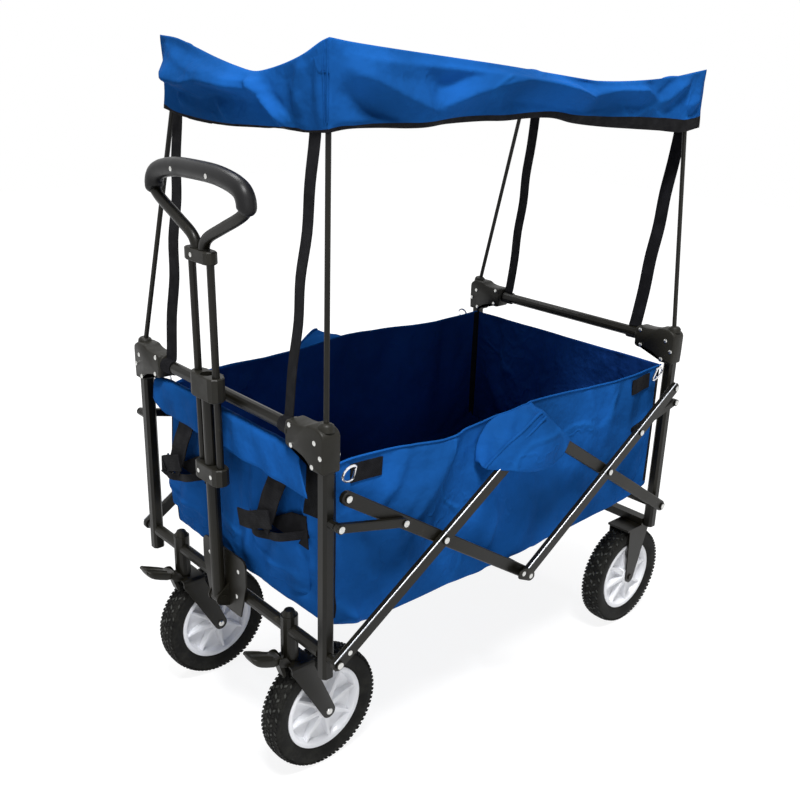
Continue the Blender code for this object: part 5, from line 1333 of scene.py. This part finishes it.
def build_pedals():
    """Thick moulded brake pedals: wide pads with a rounded end and two ridges."""
    # How far out from the stem, height, and half of the width and of the thickness there
    stations = ((0.0175, 0.2112, 0.0070, 0.0025), (0.0195, 0.2118, 0.0102, 0.0042),
                (0.0250, 0.2135, 0.0114, 0.0060), (0.0320, 0.2158, 0.0140, 0.0078),
                (0.0410, 0.2194, 0.0168, 0.0088), (0.0530, 0.2245, 0.0178, 0.0088),
                (0.0620, 0.2285, 0.0178, 0.0084), (0.0670, 0.2310, 0.0162, 0.0078),
                (0.0700, 0.2326, 0.0120, 0.0062), (0.0710, 0.2336, 0.0060, 0.0036))
    for word in ("left", "right"):
        low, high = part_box(f"{word}_brake_pedal")
        middle = (low.y + high.y) / 2
        bm = bmesh.new()
        rings = []
        for back, z, wide, thick in stations:
            ring = []
            for step in range(20):
                angle = 2 * math.pi * step / 20
                across, up = math.cos(angle), math.sin(angle)
                across = math.copysign(abs(across) ** 0.5, across)
                up = math.copysign(abs(up) ** 0.5, up)
                place = (-LEG_X - back - 0.35 * thick * up, middle + wide * across, z + thick * up)
                ring.append(bm.verts.new(place))
            rings.append(ring)
        loft(bm, rings)
        for shift in (-0.0070, 0.0070):
            ridge = [(-LEG_X - back - 0.002, middle + shift, z + thick * 0.97)
                     for back, z, wide, thick in stations[3:8]]
            pipe(bm, curve_through(ridge, 4), 0.0013, 8)
        solid_piece(f"{word}_pedal_cover", bm, (PLASTIC,), f"{word}_pedal", smooth=50)


def build_link_blocks():
    """Black end plates with two rivets at the middle feet of the links."""
    for side, word in SIDES:
        outline = rounded([(-0.0260, 0.2700, 0.004), (-0.0300, 0.2590, 0.006), (0.0010, 0.2440, 0.008),
                           (0.0110, 0.2480, 0.008), (0.0090, 0.2620, 0.009), (-0.0100, 0.2720, 0.006)])
        bm = bmesh.new()
        moulding(bm, outline, lambda a, b, height: (a, side * (0.2748 + height), b), 0.0012, PLATE_EDGE)
        solid_piece(f"{word}_middle_plate", bm, (PLASTIC,), f"{word}_front_falling", smooth=50)
        spots = [(Vector((x, side * 0.2760, z)), Vector((0, side, 0)))
                 for x, z in ((0.0010, 0.2535), (-0.0170, 0.2640))]
        fastener_group(f"{word}_middle_plate_rivets", f"{word}_front_falling", spots, radius=0.0042)


def build_edge_highlights():
    """The upper outer edges of the rising links: a thin grey metal strip along each, a painted highlight.
    """
    for side, word in SIDES:
        for end, foot, head in (("front", (-LEG_X, PIVOT_Z), (0, APEX_Z)),
                                ("rear", (0, PIVOT_Z), LINK_TOP)):
            foot, head = Vector(foot), Vector(head)
            along = (head - foot).normalized()
            start = foot - along * 0.004 + Vector((-along.y, along.x)) * 0.0092
            stop = head + along * 0.004 + Vector((-along.y, along.x)) * 0.0092
            bm = bmesh.new()
            route = [start.lerp(stop, k / 12) for k in range(13)]
            pipe(bm, [(spot.x, side * 0.2709, spot.y) for spot in route], 0.0012, 8)
            solid_piece(f"{word}_{end}_worn_edge", bm, (EDGE_HIGHLIGHT,), f"{word}_{end}_rising")


def fastener_group(name, body, spots, radius=0.0050, height=0.0016):
    """Rivet or screw heads of one body, as one piece.  A spot is a place and its outward axis."""
    bm = bmesh.new()
    for place, axis in spots:
        dome(bm, place, axis, radius, height)
    solid_piece(name, bm, (PLATED,), body)


def build_fasteners():
    """Zinc heads of the rivets and screws."""
    step, middle = LEG_X / 2, (PIVOT_Z + APEX_Z) / 2
    for side, word in SIDES:
        out = Vector((0, side, 0))

        def head(x, z, face):
            return (Vector((x, side * face, z)), out)

        fastener_group(f"{word}_front_falling_rivets", f"{word}_front_falling",
                       [head(-step, middle, 0.2738), head(-LINK_TOP[0], LINK_TOP[1], 0.2640)])
        slope = math.atan2(APEX_Z - PIVOT_Z, LEG_X)
        fastener_group(f"{word}_front_rising_rivet", f"{word}_front_rising",
                       [head(-LEG_X + 0.022 * math.cos(slope), PIVOT_Z + 0.022 * math.sin(slope), 0.2715)],
                       radius=0.0038)
        fastener_group(f"{word}_rear_falling_rivets", f"{word}_rear_falling",
                       [head(step, middle, 0.2738), head(0, APEX_Z, 0.2738)])
        fastener_group(f"{word}_rear_rising_rivets", f"{word}_rear_rising",
                       [head(*LINK_TOP, 0.2735), head(*GUIDE_RIVET, 0.2735)])
        fastener_group(f"{word}_front_guide_rivet", f"{word}_front_guide",
                       [head(-GUIDE_RIVET[0], GUIDE_RIVET[1], 0.2735)])
        fastener_group(f"{word}_front_leg_rivets", "front_frame",
                       [head(-LEG_X, z, 0.2738) for z in (PIVOT_Z, GUIDE_PIVOT_Z)])
        fastener_group(f"{word}_rear_leg_rivets", "rear_frame",
                       [head(LEG_X, z, 0.2643) for z in (PIVOT_Z, GUIDE_PIVOT_Z)])
    for sign, end in ENDS:
        spots = []
        for side in (-1, 1):
            for y, z in BRACKET_RIVETS:
                for face in (-1, 1):
                    place = Vector((sign * LEG_X + face * BRACKET_HALF, side * y, z))
                    spots.append((place, Vector((face, 0, 0))))
        fastener_group(f"{end}_bracket_rivets", f"{end}_frame", spots, radius=0.0036, height=0.0014)
    ahead = Vector((-1, 0, 0))
    grip_z = LOOP_FOOT + LOOP_HIGH * 1.015
    screws = [(handle_spot(*spot), ahead) for spot in
              ((-0.0133, -0.017, 0.2105), (-0.0133, 0.017, 0.2105), (-0.0103, 0.010, 0.533),
               (-0.0130, -0.045, grip_z), (-0.0130, 0.045, grip_z))]
    fastener_group("handle_screws", "handle_upper", screws, radius=0.0034, height=0.0010)
    mount = [(Vector((-0.4018, y, z)), ahead) for y, z in
             ((-0.040, 0.300), (0.040, 0.300), (-0.034, 0.255), (0.034, 0.255))]
    fastener_group("handle_mount_rivets", "front_frame", mount, radius=0.0036, height=0.0012)


def add_camera():
    """The camera at the photograph's place."""
    camera = bpy.data.cameras.new("camera")
    camera.lens = CAMERA_LENS
    camera.sensor_width = CAMERA_SENSOR
    camera.clip_start = 0.05
    obj = bpy.data.objects.new("camera", camera)
    heading = Matrix.Rotation(CAMERA_HEADING, 4, "Z")
    dip = Matrix.Rotation(math.pi / 2 - CAMERA_DIP, 4, "X")
    roll = Matrix.Rotation(CAMERA_ROLL, 4, "Z")
    obj.matrix_world = Matrix.Translation(CAMERA_PLACE) @ heading @ dip @ roll
    bpy.context.scene.collection.objects.link(obj)
    bpy.context.scene.camera = obj


def area_light(name, place, aim, size, power):
    lamp = bpy.data.lights.new(name, "AREA")
    lamp.shape = "RECTANGLE"
    lamp.size, lamp.size_y = size
    lamp.energy = power
    obj = bpy.data.objects.new(name, lamp)
    obj.location = place
    obj.rotation_euler = (Vector(aim) - Vector(place)).to_track_quat("-Z", "Y").to_euler()
    bpy.context.scene.collection.objects.link(obj)


def seen_directly(tree):
    """1 for rays from the camera and for those that a gloss or glass sends on."""
    path = tree.nodes.new("ShaderNodeLightPath")
    seen = path.outputs["Is Camera Ray"]
    for kind in ("Is Glossy Ray", "Is Transmission Ray"):
        either = tree.nodes.new("ShaderNodeMath")
        either.operation = "MAXIMUM"
        tree.links.new(seen, either.inputs[0])
        tree.links.new(path.outputs[kind], either.inputs[1])
        seen = either.outputs[0]
    return seen


def build_stage():
    """White floor and surroundings, and three lights.

    The key is small and high over the left front, the fill weak and low on the left, and the third
    stands behind on the right.
    """
    world = bpy.data.worlds.new("studio")
    bpy.context.scene.world = world
    world.use_nodes = True
    tree = world.node_tree
    background = tree.nodes["Background"]
    strength = tree.nodes.new("ShaderNodeMapRange")
    tree.links.new(seen_directly(tree), strength.inputs["Value"])
    strength.inputs["To Min"].default_value = 0.22
    strength.inputs["To Max"].default_value = 1.0
    background.inputs["Color"].default_value = (1, 1, 1, 1)
    tree.links.new(strength.outputs["Result"], background.inputs["Strength"])

    f = Finish("floor")
    lit = f.node("BsdfDiffuse", {"Color": (0.80, 0.80, 0.80, 1)}).outputs[0]
    shade = f.node("BsdfDiffuse", {"Color": (0.22, 0.22, 0.22, 1)}).outputs[0]
    distance = f.node("VectorMath", {0: f.place()}, operation="LENGTH").outputs["Value"]
    glow = f.node("Emission", {"Color": (1, 1, 1, 1), "Strength": f.ramp(distance, 0.7, 1.8, 0.88, 1.0)})
    shown = f.node("AddShader", {0: shade, 1: glow.outputs[0]}).outputs[0]
    seen = seen_directly(f.material.node_tree)
    mixed = f.node("MixShader", {0: seen, 1: lit, 2: shown}).outputs[0]
    f.links.new(mixed, f.nodes["Material Output"].inputs["Surface"])
    f.nodes.remove(f.shader)

    bm = bmesh.new()
    bmesh.ops.create_grid(bm, x_segments=8, y_segments=8, size=6.0)
    floor = make_piece("floor", bm, (f.material,), smooth=0)

    area_light("key", (-1.3, -1.7, 5.2), (0.0, 0.0, 0.5), (1.2, 1.2), 330)
    area_light("fill", (-1.5, -2.6, 1.2), (0.0, 0.0, 0.5), (1.6, 1.2), 8)
    area_light("back", (0.3, 1.4, 3.4), (0.0, 0.0, 0.5), (1.6, 0.8), 45)
    bpy.context.scene.view_settings.view_transform = "Standard"


finish_nodes()
add_camera()
build_stage()
build_canopy()
build_bag()
build_flaps()
build_front_trim()
build_corner_tabs()
build_straps()
build_wheels()
build_brackets()
build_forks()
build_pedals()
build_handle_grip()
build_link_blocks()
build_edge_highlights()
build_fasteners()
